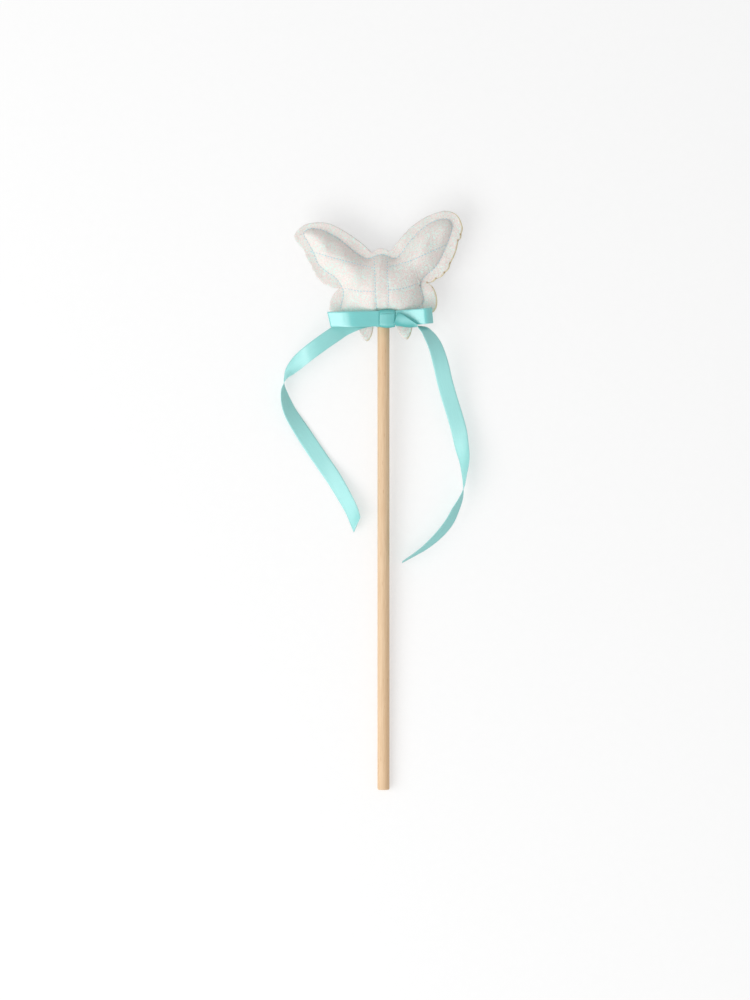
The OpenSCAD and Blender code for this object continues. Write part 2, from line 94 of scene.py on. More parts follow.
# %% [markdown]
# The table is a wide white sheet. A broad soft lamp stands to the left and a little towards the handle, so
# shadows fall softly to the right. A small lamp higher up helps it a little, and white light from all round
# fills the rest. Together they light a level white surface to just about white, so a colour looks as it is
# written. The camera sees the paper partly as a plain backdrop, which keeps the shadows pale without more
# light on the wand.

# %% Helpers for colours and finishes
def linear(code):
    """A hex colour, as a picture shows it, turned to the linear values that light works in."""
    parts = [int(code[i:i + 2], 16) / 255 for i in (1, 3, 5)]
    return tuple(c / 12.92 if c <= 0.04045 else ((c + 0.055) / 1.055) ** 2.4 for c in parts) + (1.0,)


def add(tree, kind, settings=None, links=None):
    """Adds a node. A setting named like an input, or given its number, goes there; links join its inputs."""
    node = tree.nodes.new(kind)
    for name, value in (settings or {}).items():
        if isinstance(name, int) or name in node.inputs:
            node.inputs[name].default_value = value
        else:
            setattr(node, name, value)
    for name, socket in (links or {}).items():
        tree.links.new(socket, node.inputs[name])
    return node


def finish_for(name):
    """A new material whose tree holds only a shader and the output."""
    material = bpy.data.materials.new(name)
    material.use_nodes = True
    tree = material.node_tree
    tree.nodes.clear()
    shader = add(tree, "ShaderNodeBsdfPrincipled")
    add(tree, "ShaderNodeOutputMaterial", links={"Surface": shader.outputs["BSDF"]})
    return material, tree, shader


def mix_in(tree, shader, other, share):
    """Mixes a second shader into a finish; share is a number or a socket."""
    mixed = add(tree, "ShaderNodeMixShader", links={1: shader.outputs[0], 2: other.outputs[0]})
    if isinstance(share, float):
        mixed.inputs[0].default_value = share
    else:
        tree.links.new(share, mixed.inputs[0])
    ends = [n for n in tree.nodes if n.type == "OUTPUT_MATERIAL"]
    tree.links.new(mixed.outputs[0], ends[0].inputs["Surface"])
    return mixed


# %% Table
TABLE_SIZE = 14
TABLE_DROP = 0.2 * MM
PAPER_CLOUD = 5.556
VEIL = 0.5
bpy.ops.mesh.primitive_plane_add(size=TABLE_SIZE, location=(0, 0, -TABLE_DROP))
table = bpy.context.object
table.name = "table_top"
paper, tree, shader = finish_for("white_paper")
# Matt white paper: no gloss, only a trace of unevenness, in clouds of a few millimetres.
fibre = add(tree, "ShaderNodeTexNoise", {"Scale": 1000 / PAPER_CLOUD, "Detail": 2.0},
            {"Vector": add(tree, "ShaderNodeTexCoord").outputs["Object"]})
tone = add(tree, "ShaderNodeValToRGB", links={"Fac": fibre.outputs["Fac"]})
tone.color_ramp.elements[0].color = linear("#FBFBFB")
tone.color_ramp.elements[1].color = linear("#FFFFFF")
tree.links.new(tone.outputs["Color"], shader.inputs["Base Color"])
shader.inputs["Roughness"].default_value = 1.0
shader.inputs["Specular IOR Level"].default_value = 0.0
# To the camera the paper is partly a plain white backdrop, so the shadows stay as light as in a bright
# studio.
ray = add(tree, "ShaderNodeLightPath")
glow = add(tree, "ShaderNodeEmission", {"Color": (1, 1, 1, 1), "Strength": 1.0})
veil = add(tree, "ShaderNodeMath", {"operation": "MULTIPLY", 1: VEIL}, {0: ray.outputs["Is Camera Ray"]})
mix_in(tree, shader, glow, veil.outputs[0])
table.data.materials.append(paper)
print("table", [round(v, 2) for v in table.dimensions], "m")

# %% Light
FILL = 0.61
KEY = 0.38
TOP = 0.05
LAMP_AIM = Vector((0, -0.05, 0.01))
world = bpy.data.worlds.new("white_room")
world.use_nodes = True
bpy.context.scene.world = world
sky = world.node_tree
sky.nodes.clear()
path = add(sky, "ShaderNodeLightPath")
room = add(sky, "ShaderNodeBackground", {"Color": (1, 1, 1, 1), "Strength": FILL})
backdrop = add(sky, "ShaderNodeBackground", {"Color": (1, 1, 1, 1), "Strength": 1.0})
plain = path.outputs["Is Camera Ray"]
for kind in ("Is Glossy Ray", "Is Transmission Ray"):
    either = add(sky, "ShaderNodeMath", {"operation": "MAXIMUM"}, {0: plain, 1: path.outputs[kind]})
    plain = either.outputs[0]
shown = add(sky, "ShaderNodeMixShader", links={0: plain, 1: room.outputs[0], 2: backdrop.outputs[0]})
add(sky, "ShaderNodeOutputWorld", links={"Surface": shown.outputs[0]})


def soft_lamp(name, place, level, wide, high):
    """A soft lamp that looks at the butterfly and gives a level white surface there the level asked for."""
    bpy.ops.object.light_add(type="AREA", location=place)
    lamp = bpy.context.object
    lamp.name = name
    lamp.data.shape = "RECTANGLE"
    lamp.data.size = wide
    lamp.data.size_y = high
    away = lamp.location - LAMP_AIM
    lamp.data.energy = level * math.pi ** 2 * away.length_squared * away.length / away.z
    lamp.rotation_euler = away.to_track_quat("Z", "Y").to_euler()


soft_lamp("side_lamp", place=(-1.15, -0.85, 1.2), level=KEY, wide=2.1, high=1.0)
soft_lamp("top_lamp", place=(-0.9, -0.1, 2.0), level=TOP, wide=0.6, high=0.5)
print("level white", round(FILL + KEY + TOP, 2))

# %% [markdown]
# ## The butterfly's cut
# The head is two butterflies cut from the same cloth and sewn together a few millimetres inside the edge.
# The rows below were read from the picture: each rib crosses the butterfly from its lower edge to its upper
# edge, and gives the place of the seam and of the cut edge at both ends. They are the rows that the solid
# model is made from, with rounder points on the two swallow tails, because cloth has no sharp points.

# %% Rows of the cut, in pixels
LEFT_RIBS = [
    [[308, 242], [298.3, 244], [309, 229.2], [303.5, 225.6]],
    [[313.5, 252], [304.2, 250.2], [317, 229.3], [314, 223]],
    [[318, 263], [312.3, 266.2], [325, 231.7], [325, 222.9]],
    [[322.3, 267.8], [315, 271.8], [331, 234.8], [333, 225]],
    [[327.5, 272], [319.2, 278.7], [337, 238], [341.5, 229.4]],
    [[335.5, 277.5], [326.2, 284.3], [345, 244.2], [350, 234.5]],
    [[342, 286.5], [339.4, 287.8], [353, 250.7], [357, 239.5]],
    [[344, 294], [333, 295], [360, 256], [364, 245]],
    [[342.3, 302], [330, 304], [366, 258.8], [369, 250]],
    [[341.5, 308.5], [332, 314], [370.5, 258.5], [372.1, 253.2]],
    [[351, 312], [356, 322], [373.6, 257], [374.8, 250.9]],
    [[361.5, 312.5], [360.2, 334], [376, 256], [377, 249.3]],
    [[367.5, 312.5], [365.9, 341], [378, 255.4], [379.3, 248.6]],
    [[372.5, 312], [371.4, 334], [379.5, 255.1], [381.3, 248.4]]]
RIGHT_RIBS = [
    [[394.5, 311.5], [399, 333], [389.6, 257.4], [389.9, 252.4]],
    [[399.5, 311.5], [405.6, 339.2], [393, 258.9], [392.5, 248.7]],
    [[405, 311], [409.9, 334.6], [397, 257.8], [396, 243.8]],
    [[414, 309], [415, 321], [400.5, 255], [399.5, 239.4]],
    [[421.5, 304.5], [433.5, 311], [404, 250], [403.5, 234.6]],
    [[423, 297], [436.7, 299], [407.5, 245], [408, 230]],
    [[420.2, 289.5], [433, 287.5], [412, 239.5], [413, 225.4]],
    [[421, 281], [427, 282.5], [417, 234], [418.5, 221.4]],
    [[427, 274], [436, 278.3], [422, 229.3], [424.5, 217.7]],
    [[432, 270], [444.4, 272.5], [427.5, 225], [431, 214.7]],
    [[437.5, 263.5], [449.9, 263.4], [434, 221.6], [438.5, 212.2]],
    [[444, 250.5], [458, 240], [441, 219.6], [447, 210.8]],
    [[449, 238], [460.8, 234.2], [448, 219.8], [457, 215.2]]]
LEFT_TIP = [[304, 234], [294.3, 235]]
RIGHT_TIP = [[452, 226], [462.2, 227]]
MOUTH_SHARES = [-1, -0.64, -0.3, 0, 0.3, 0.64, 1]
CREST_SEAM = [[380.6, 255], [381.6, 255], [382.6, 255.1], [383.6, 255.2], [384.8, 255.4], [386.2, 255.8],
              [387.6, 256.4]]
CREST_EDGE = [[382.4, 248.4], [383.4, 248.6], [384.4, 248.8], [385.4, 249.2], [386.6, 249.8],
              [387.8, 250.4], [388.9, 251.1]]
LOW_NOTCHES = [2, 3, 4, 5, 6, 7, 15, 21, 29, 30, 31, 32, 33, 34]
HIGH_NOTCHES = [10, 22]
print("ribs", len(LEFT_RIBS) + len(MOUTH_SHARES) + len(RIGHT_RIBS))

# %% Sizes from the solid model, and how the wand lies
DOWEL_R = 4 * MM
DOWEL_L = 352.5 * MM
DOWEL_IN = 32 * MM
CROWN = 13.7 * MM
CLOTH_T = 0.8 * MM
REST_H = 13.2 * MM
MOUTH_HALF = 4.6 * MM
LIP_HALF = 5.9 * MM
MOUTH_Y = seen((383.5, 310))[1]
LIP_Y = seen((383.5, 313.2))[1]
DOWEL_TOP = MOUTH_Y + DOWEL_IN
DOWEL_OUT = DOWEL_L - DOWEL_TOP
TILT = math.asin(REST_H / math.hypot(DOWEL_OUT, DOWEL_R)) - math.atan2(DOWEL_R, DOWEL_OUT)


def laid(p):
    """Points of the wand, tilted as it lies: the head rests on its back and the dowel on its end."""
    p = np.asarray(p, float)
    x, y, z = p[..., 0], p[..., 1], p[..., 2]
    return np.stack([x, y * math.cos(TILT) - z * math.sin(TILT),
                     REST_H + y * math.sin(TILT) + z * math.cos(TILT)], -1)


def table_under(y):
    """Height of the table in the wand's own frame."""
    return -(REST_H + y * math.sin(TILT)) / math.cos(TILT)


print("tilt", round(math.degrees(TILT), 2), "degrees, dowel top", round(DOWEL_TOP / MM, 1), "mm")

# %% [markdown]
# A smooth curve through the rows gives the seam and the cut edge. The wing edges were cut in small
# scallops: the curve breaks at each notch and bulges from one notch to the next.

# %% Curves through the rows
SPAN = 7
SCALLOP = 0.9 * MM
MOUTH_FIRST = 15
MOUTH_LAST = 21


def curve(a, b, c, d, t):
    """A smooth curve from b to c that knows its neighbours a and d."""
    t = np.asarray(t, float)[..., None]
    return (2 * b + (c - a) * t + (2 * a - 5 * b + 4 * c - d) * t ** 2 + (3 * b - a - 3 * c + d) * t ** 3) / 2


def through(points, steps, before=None, after=None):
    """The curve through all the points, with a number of steps between them."""
    p = np.asarray(points, float)
    first = 2 * p[0] - p[1] if before is None else before
    last = 2 * p[-1] - p[-2] if after is None else after
    full = np.vstack([first[None], p, last[None]])
    parts = [curve(*full[i:i + 4], np.arange(steps) / steps) for i in range(len(p) - 1)]
    return np.vstack(parts + [p[-1:]])


def cut_edge(points, before, after, notches):
    """The cut edge: smooth between notches, with a bulge from notch to notch."""
    parts = []
    for i in range(len(points) - 1):
        b, c = points[i], points[i + 1]
        starts, ends = i in notches, i + 1 in notches
        a = 2 * b - c if starts else points[i - 1] if i else before
        d = 2 * c - b if ends else points[i + 2] if i + 2 < len(points) else after
        t = np.arange(SPAN) / SPAN
        over_mouth = MOUTH_FIRST <= i < MOUTH_LAST
        part = b + (c - b) * t[:, None] if over_mouth else curve(a, b, c, d, t)
        if starts and ends and not over_mouth:
            run = (c - b) / np.linalg.norm(c - b)
            part = part + SCALLOP * np.sin(np.pi * t)[:, None] * np.array([run[1], -run[0]])
        parts.append(part)
    return np.vstack(parts + [points[-1:]])


mouth = [[(k * MOUTH_HALF, MOUTH_Y), (k * (LIP_HALF if abs(k) == 1 else MOUTH_HALF), LIP_Y), seen(s), seen(e)]
         for k, s, e in zip(MOUTH_SHARES, CREST_SEAM, CREST_EDGE)]
ribs = np.concatenate([seen(LEFT_RIBS), np.array(mouth), seen(RIGHT_RIBS)])
tip_l, tip_r = seen(LEFT_TIP), seen(RIGHT_TIP)
# Each row takes one column of the ribs, and the seam's or the edge's place at both tips.
rows = {name: np.vstack([tip_l[k][None], ribs[:, j], tip_r[k][None]])
        for name, j, k in (("low_seam", 0, 0), ("low_edge", 1, 1), ("high_seam", 2, 0), ("high_edge", 3, 1))}
low_seam = through(rows["low_seam"], SPAN, rows["high_seam"][1], rows["high_seam"][-2])
high_seam = through(rows["high_seam"], SPAN, rows["low_seam"][1], rows["low_seam"][-2])
low_edge = cut_edge(rows["low_edge"], rows["high_edge"][1], rows["high_edge"][-2], LOW_NOTCHES)
high_edge = cut_edge(rows["high_edge"], rows["low_edge"][1], rows["low_edge"][-2], HIGH_NOTCHES)
print("columns across the butterfly", len(low_seam))

# %% [markdown]
# The filling blows the middle up. Its height follows the distance to the seam all round, not just to the
# nearest stitch, so the ridge of each wing is soft. Under the knot the ribbon holds the cloth down on the
# dowel.

# %% Height of the filled cloth
BOW_FIRST = 10
BOW_LAST = 26
UNDER_BOW = [[341, 309], [344, 314], [352, 317.5], [362, 319], [371, 319.5], [376.6, 320], [379.1, 320],
             [381.4, 320], [383.5, 320], [385.6, 320], [387.9, 320], [390.4, 320], [396, 319.5],
             [402, 319], [410, 317], [417.5, 313], [422.5, 306]]
foot = np.vstack([rows["low_seam"][:BOW_FIRST], seen(UNDER_BOW), rows["low_seam"][BOW_LAST + 1:]])
foot = through(foot, SPAN, rows["high_seam"][1], rows["high_seam"][-2])
seam_loop = np.vstack([foot, high_seam[-2:0:-1]])


def seam_reach(p):
    """A smooth distance from points to the whole seam: all of it counts, and the nearest stretch most."""
    here = p.reshape(-1, 1, 2) / MM
    start = seam_loop[None] / MM
    side = np.roll(seam_loop, -1, 0)[None] / MM - start
    length = np.linalg.norm(side, axis=-1) + 1e-9
    way = side / length[..., None]
    gap = here - start
    near = ((start - here) * way).sum(-1)
    far = near + length
    off = (way[..., 0] * gap[..., 1] - way[..., 1] * gap[..., 0]) ** 2 + 1e-6
    pull = (far / np.sqrt(far ** 2 + off) - near / np.sqrt(near ** 2 + off)) / off
    return (MM / np.sqrt(np.maximum(pull.sum(-1), 1e-9) / 2)).reshape(p.shape[:-1])


# The dome rises with the distance to the seam, up to a limit. The held cloth rises from the knot towards
# the head, and is free on both sides of the knot.
DOME_LIMIT = 1.06
DOME_POWER = 0.8
KNOT_TOP = seen((387, 311))[1]
HELD_X = 2.5 * MM
HELD_H = 4.6 * MM
HELD_SLOPE = 1.25
HELD_HALF = 6 * MM
HELD_FADE = 5 * MM
FREE_H = 9 * MM
crown_reach = float(seam_reach(seen((381.5, 284))))


def lift(p):
    """Height of the cloth's inner face above the seam: the lower of dome and held cloth, eased."""
    dome = CROWN * np.minimum(DOME_LIMIT, seam_reach(p) / crown_reach) ** DOME_POWER
    held = HELD_H + HELD_SLOPE * np.maximum(p[..., 1] - KNOT_TOP, 0)
    beside = np.clip((np.abs(p[..., 0] - HELD_X) - HELD_HALF) / HELD_FADE, 0, 1)
    held = held + FREE_H * beside * beside * (3 - 2 * beside)
    return (dome ** -6 + held ** -6) ** (-1 / 6)


print("crown reach", round(crown_reach / MM, 2), "mm")

# %% [markdown]
# The cloth is laid out as a grid: a margin below, the dome, a margin above. Points crowd towards the seam,
# where the cloth turns most sharply. The two notches at the waist are then evened out, because filled cloth
# has no crease.

# %% Grid of one panel
MARGIN = 8
DOME = 46
CROWD, EVEN = 0.55, 0.45
WAIST_NOTCHES = ((421, 281), (343, 288))
WAIST_FULL = 1.4
WAIST_REACH = 9 * MM
WAIST_PASSES = 30
crowded = (1 - np.cos(np.linspace(0, np.pi, DOME + 1))) / 2
share = CROWD * crowded + EVEN * np.linspace(0, 1, DOME + 1)
outward = np.linspace(1, 0, MARGIN + 1)[:-1]
across = low_seam[:, None] + (high_seam - low_seam)[:, None] * share[None, :, None]
below = low_seam[:, None] + (low_edge - low_seam)[:, None] * outward[None, :, None]
above = high_seam[:, None] + (high_edge - high_seam)[:, None] * outward[::-1][None, :, None]
plan = np.concatenate([below, across, above], 1)
columns, per_column = plan.shape[:2]
dome_rows = slice(MARGIN, MARGIN + DOME + 1)
# Under the bow the filled part goes past the seam, down to the foot line.
over_bow = np.zeros(columns, bool)
over_bow[BOW_FIRST * SPAN:BOW_LAST * SPAN + 1] = True
within = np.zeros((columns, per_column), bool)
within[:, dome_rows] = True
within[~over_bow, MARGIN] = False
within[:, MARGIN + DOME] = False
near_bow = foot[(BOW_FIRST - 1) * SPAN:(BOW_LAST + 1) * SPAN]
foot_y = np.interp(plan[..., 0], near_bow[:, 0], near_bow[:, 1])
within[over_bow, :MARGIN] = (plan[..., 1] > foot_y)[over_bow, :MARGIN]
height = np.where(within, lift(plan), 0)


def even_out(heights, weight, passes):
    """Moves each inner point of a grid up to half way to the mean of its four neighbours, by its weight."""
    for _ in range(passes):
        mean = (heights[:-2, 1:-1] + heights[2:, 1:-1] + heights[1:-1, :-2] + heights[1:-1, 2:]) / 4
        heights[1:-1, 1:-1] += 0.5 * weight[1:-1, 1:-1] * (mean - heights[1:-1, 1:-1])


for notch in seen(WAIST_NOTCHES):
    soft = np.clip(WAIST_FULL - np.linalg.norm(plan - notch, axis=-1) / WAIST_REACH, 0, 1) * (height > 0)
    even_out(height, soft, WAIST_PASSES)
print("grid", columns, "by", per_column, "crown", round(height.max() / MM, 2), "mm")

# %% [markdown]
# Real cloth isn't even. Stitched lines pull narrow valleys into it, the seam gathers it into short puckers,
# the filling is a little lumpy, and the margin waves. These small moves are what make it read as cloth.
# They are worked out as heights on the grid, because each follows a line or an edge that the grid already
# knows.

# %% Stitched lines, in pixels
LINES = {
    "body_left": [[373.8, 257.5], [374.5, 268.5], [375, 280], [375.2, 291], [376, 301], [376.6, 309]],
    "body_right": [[387.3, 257.5], [387.2, 268.5], [387.9, 280], [388.6, 291], [388.4, 300], [388, 306.5]],
    "vein_upper_left": [[309.5, 251.6], [317, 253.1], [325, 255.5], [337.4, 259], [355, 263.5], [373.5, 268]],
    "vein_upper_right": [[388.5, 267.3], [400, 264], [410, 261], [428, 253], [446, 245]],
    "vein_lower_left": [[344, 288.2], [354, 290.2], [360, 291], [368, 291.2], [375, 291.2]],
    "vein_lower_right": [[389, 290.2], [398, 289.2], [405, 288], [410, 286.4], [419, 283]]}
line_paths = {name: through(seen(points), 12) for name, points in LINES.items()}
print("stitched lines", {name: len(line) for name, line in line_paths.items()})

# %% Helpers for lines and waves
def line_distance(p, line):
    """Distance of each point to a stitched line."""
    best = np.full(p.shape[:-1], 1.0)
    for start, run in zip(line[:-1], np.diff(line, axis=0)):
        t = np.clip(((p - start) @ run) / (run @ run), 0, 1)
        best = np.minimum(best, np.linalg.norm(p - (start + t[..., None] * run), axis=-1))
    return best


def gone_along(line):
    """The way gone along a line, at each of its points."""
    return np.concatenate([[0], np.cumsum(np.linalg.norm(np.diff(line, axis=0), axis=1))])


def unit(v):
    """Directions of length one."""
    return v / np.linalg.norm(v, axis=-1, keepdims=True)


def waves(p, size, seed, count=24):
    """Smooth uneven waves of about that size, from a few seeded ripples."""
    rng = np.random.default_rng(seed)
    total = np.zeros(p.shape[:-1])
    for _ in range(count):
        angle, phase = rng.uniform(0, 2 * np.pi, 2)
        number = 2 * np.pi / (size * rng.uniform(0.7, 1.5))
        total += np.cos(number * (p[..., 0] * np.cos(angle) + p[..., 1] * np.sin(angle)) + phase)
    return total / math.sqrt(count / 2)


# %% Valleys, puckers and waves
INSIDE_FADE = 4 * MM
ROUND_FROM = 2.5 * MM
ROUND_FADE = 5 * MM
ROUND_PASSES = 160
VALLEY_WIDE = 1.1 * MM
VALLEY_DEEP = 0.22 * MM
PUCKER_PITCH = 4.6 * MM
PUCKER_DRIFT = 11 * MM
PUCKER_IN = 1.2 * MM
PUCKER_WIDE = 1.6 * MM
PUCKER_HIGH = 0.14 * MM
LUMP_SIZE = 15 * MM
LUMP_HIGH = 0.22 * MM
WAVE_SIZE = 17 * MM
WAVE_HIGH = 0.25 * MM
WAVE_FADE = 5 * MM
LOBE_TOP = seen((383, 280))[1]
LOBE_FADE = 8 * MM
LOBE_OUT = 6 * MM
LOBE_LIFT_RIGHT = 1.1
LOBE_LIFT_LEFT = -0.2
# The way in from the seam: below zero on the margin.
reach = np.zeros_like(height)
reach[:, dome_rows] = seam_reach(across)
reach[:, MARGIN] = reach[:, MARGIN + DOME] = 0
reach[:, :MARGIN] = -np.linalg.norm(below - low_seam[:, None], axis=-1)
reach[:, MARGIN + DOME + 1:] = -np.linalg.norm(above - high_seam[:, None], axis=-1)
inside = np.clip(reach / INSIDE_FADE, 0, 1)
even_out(height, np.clip((reach - ROUND_FROM) / ROUND_FADE, 0, 1), ROUND_PASSES)
valley = sum(np.exp(-(line_distance(plan, line) / VALLEY_WIDE) ** 2) for line in line_paths.values())
ease = -VALLEY_DEEP * np.minimum(valley, 1) * inside
upper = np.linspace(0, 1, per_column)[None] > 0.5
way = np.where(upper, gone_along(high_seam)[:, None] + 0.7, gone_along(low_seam)[:, None])
pucker = np.cos(2 * np.pi * way / PUCKER_PITCH + 1.5 * np.sin(way / PUCKER_DRIFT))
ease += PUCKER_HIGH * pucker * np.exp(-((reach - PUCKER_IN) / PUCKER_WIDE) ** 2)
ease += LUMP_HIGH * waves(plan, LUMP_SIZE, seed=4) * inside
margin_wave = WAVE_HIGH * (waves(plan, WAVE_SIZE, seed=9) + 1.2) * np.clip(-reach / WAVE_FADE, 0, 1)
# The margin of the lower right lobe curls up, and that of the left one hangs a little.
lobe = np.clip((LOBE_TOP - plan[..., 1]) / LOBE_FADE, 0, 1)
curl = np.where(plan[..., 0] > 0, LOBE_LIFT_RIGHT, LOBE_LIFT_LEFT) * MM
margin_wave += curl * lobe * np.clip(-reach / LOBE_OUT, 0, 1.5)
print("valleys and puckers", [round(v / MM, 2) for v in (ease.min(), ease.max())], "mm")

# %% [markdown]
# A panel is one sheet of quads over this grid. Three values ride on its points, for the finish to read: the
# way in from the cut edge, where that edge turned cream, and where the cutter's heat browned it.

# %% Panel as a mesh
SCORCH_WIDE = 1.0 * MM
SCORCHED = LOW_NOTCHES[:6] + LOW_NOTCHES[-6:] + [28]
LEFT_SCORCH = 0.6
CREAM_FROM = 0.1
CREAM_FADE = 0.5
TIP_X = 40


def grid_mesh(name, points, closed=False):
    """A mesh of quads over a grid of points. Closed, each column's end joins its start."""
    n, m = points.shape[:2]
    number = np.arange(n * m).reshape(n, m)
    if closed:
        number = np.concatenate([number, number[:, :1]], 1)
    quads = np.stack([number[:-1, :-1], number[1:, :-1], number[1:, 1:], number[:-1, 1:]], -1).reshape(-1, 4)
    mesh = bpy.data.meshes.new(name)
    mesh.from_pydata(points.reshape(-1, 3).tolist(), [], quads.tolist())
    return mesh


def keep_value(mesh, name, values):
    """Keeps a number on each point of a mesh."""
    layer = mesh.attributes.new(name, "FLOAT", "POINT")
    layer.data.foreach_set("value", values.ravel().astype(np.float32))


def climb(edge):
    """How steeply an edge climbs along its run, from -1 to 1."""
    return unit(np.gradient(edge, axis=0))[:, 1:]


def panel_mesh(name, face, shift):
    """A panel's outer face, with the values for its finish."""
    mesh = grid_mesh(name, laid(np.concatenate([plan + np.asarray(shift), face[..., None]], -1)))
    way_in = np.minimum(np.linalg.norm(plan - low_edge[:, None], axis=-1),
                        np.linalg.norm(plan - high_edge[:, None], axis=-1))
    way_in[[0, -1]] = np.linalg.norm(plan[[0, -1]] - low_edge[[0, -1]][:, None], axis=-1)
    keep_value(mesh, "way_in", way_in / MM)
    # Cream shows on the lower edge where it looks to the right, and at the right tip of the upper edge.
    lower = np.arange(per_column)[None] < per_column // 2
    looks_right = np.where(lower, climb(low_edge), -climb(high_edge))
    near_tip = np.where(lower, 1, np.clip(plan[..., 0] / MM - TIP_X, 0, 1))
    keep_value(mesh, "old_edge", np.clip((looks_right - CREAM_FROM) / CREAM_FADE, 0, 1) * near_tip)
    burn = np.zeros((columns, per_column))
    for k in SCORCHED:
        spot = np.exp(-(np.linalg.norm(plan - rows["low_edge"][k], axis=-1) / SCORCH_WIDE) ** 2)
        burn = np.maximum(burn, spot * (LEFT_SCORCH if k < MOUTH_LAST else 1))
    keep_value(mesh, "scorch", burn)
    return mesh


def piece_of(name, mesh, *materials):
    """A new object for a mesh, at the origin, with its materials."""
    piece = bpy.data.objects.new(name, mesh)
    bpy.context.collection.objects.link(piece)
    for material in materials:
        mesh.materials.append(material)
    return piece


def press(piece, kind, **settings):
    """Adds a modifier with its settings and applies it."""
    bpy.ops.object.select_all(action="DESELECT")
    bpy.context.view_layer.objects.active = piece
    piece.select_set(True)
    modifier = piece.modifiers.new(kind.lower(), kind)
    for setting, value in settings.items():
        setattr(modifier, setting, value)
    bpy.ops.object.modifier_apply(modifier=modifier.name)


def clean(piece, gap=1e-6):
    """Merges doubled points and drops faces with no area."""
    work = bmesh.new()
    work.from_mesh(piece.data)
    bmesh.ops.remove_doubles(work, verts=work.verts, dist=gap)
    bmesh.ops.dissolve_degenerate(work, edges=work.edges, dist=gap)
    work.to_mesh(piece.data)
    work.free()


print("scorched notches", len(SCORCHED))

# %% [markdown]
# ### Glitter cloth
# The cloth is a woven backing with a coat of tiny clear flakes that flash pink and mint. Flakes of about
# 0.3 mm would vanish at this distance, so the cells are about half a millimetre. Each cell has its own tint
# and its own slight tilt, which gives the sparkle. Near the cut edge the cutter's heat turned the backing
# cream, and brown at the notches.

# %% Glitter cloth
FLAKE = 0.52
FLAKE_TILT = 0.18
PATCH = 7.0
SPECK = 2.5
glitter, tree, shader = finish_for("glitter_cloth")
place = add(tree, "ShaderNodeTexCoord")
cells = add(tree, "ShaderNodeTexVoronoi", {"Scale": 1000 / FLAKE}, {"Vector": place.outputs["Object"]})
chance = add(tree, "ShaderNodeSeparateColor", links={"Color": cells.outputs["Color"]})
# Patches of a few millimetres lean to pink or to mint.
patch = add(tree, "ShaderNodeTexNoise", {"Scale": 1000 / PATCH, "Detail": 2.0},
            {"Vector": place.outputs["Object"]})
lean_by = add(tree, "ShaderNodeMapRange", {"From Min": 0.3, "From Max": 0.7, "To Min": -0.16, "To Max": 0.16},
              {"Value": patch.outputs["Fac"]})
pick = add(tree, "ShaderNodeMath", {"operation": "ADD"},
           {0: chance.outputs["Red"], 1: lean_by.outputs["Result"]})
flake = add(tree, "ShaderNodeValToRGB", links={"Fac": pick.outputs[0]})
ramp = flake.color_ramp
ramp.interpolation = "CONSTANT"
ramp.elements[0].color = linear("#D9F0E8")
ramp.elements[1].position = 0.2
ramp.elements[1].color = linear("#E7E1DB")
for position, code in ((0.42, "#EBE5E0"), (0.62, "#E5DCD5"), (0.78, "#F1DCDA"), (0.93, "#F4E9E5")):
    ramp.elements.new(position).color = linear(code)
# The cream band along the edge is uneven, and the brown of the notches lies over it.
way_in = add(tree, "ShaderNodeAttribute", {"attribute_name": "way_in"})
uneven = add(tree, "ShaderNodeTexNoise", {"Scale": 1000 / SPECK, "Detail": 3.0},
             {"Vector": place.outputs["Object"]})
band = add(tree, "ShaderNodeMath", {"operation": "MULTIPLY_ADD", 1: 0.9, 2: 0.4}, {0: uneven.outputs["Fac"]})
cream_by = add(tree, "ShaderNodeMapRange", {"From Min": 0.0, "To Min": 0.9, "To Max": 0.0},
               {"Value": way_in.outputs["Fac"], "From Max": band.outputs[0]})
old_edge = add(tree, "ShaderNodeAttribute", {"attribute_name": "old_edge"})
old_cream = add(tree, "ShaderNodeMath", {"operation": "MULTIPLY"},
                {0: cream_by.outputs["Result"], 1: old_edge.outputs["Fac"]})
cream = add(tree, "ShaderNodeMix", {"data_type": "RGBA", 7: linear("#F6E7B2")},
            {0: old_cream.outputs[0], 6: flake.outputs["Color"]})
scorch = add(tree, "ShaderNodeAttribute", {"attribute_name": "scorch"})
brown_by = add(tree, "ShaderNodeMapRange", {"From Min": 0.35, "From Max": 0.95, "To Max": 0.85},
               {"Value": scorch.outputs["Fac"]})
brown = add(tree, "ShaderNodeMix", {"data_type": "RGBA", 7: linear("#B58743")},
            {0: brown_by.outputs["Result"], 6: cream.outputs[2]})
tree.links.new(brown.outputs[2], shader.inputs["Base Color"])
rough = add(tree, "ShaderNodeMapRange", {"To Min": 0.35, "To Max": 0.75}, {"Value": chance.outputs["Green"]})
tree.links.new(rough.outputs["Result"], shader.inputs["Roughness"])
tilted = add(tree, "ShaderNodeVectorMath",
             {"operation": "MULTIPLY_ADD", 1: (2 * FLAKE_TILT,) * 3, 2: (-FLAKE_TILT,) * 3},
             {0: cells.outputs["Color"]})
facing = add(tree, "ShaderNodeVectorMath", {"operation": "ADD"},
             {0: add(tree, "ShaderNodeNewGeometry").outputs["Normal"], 1: tilted.outputs[0]})
normal = add(tree, "ShaderNodeVectorMath", {"operation": "NORMALIZE"}, {0: facing.outputs[0]})
tree.links.new(normal.outputs[0], shader.inputs["Normal"])
shader.inputs["Specular IOR Level"].default_value = 0.5
shader.inputs["Sheen Weight"].default_value = 0.1
print("glitter cloth", len(tree.nodes), "nodes, flakes of", FLAKE, "mm")

# %% [markdown]
# The cloth is then blown against its stitching: a cloth simulation with a little pressure from the filling.
# The seam, the margin, the stitched lines and the part under the bow are pinned. Movement is capped, so it
# can't leave the form.

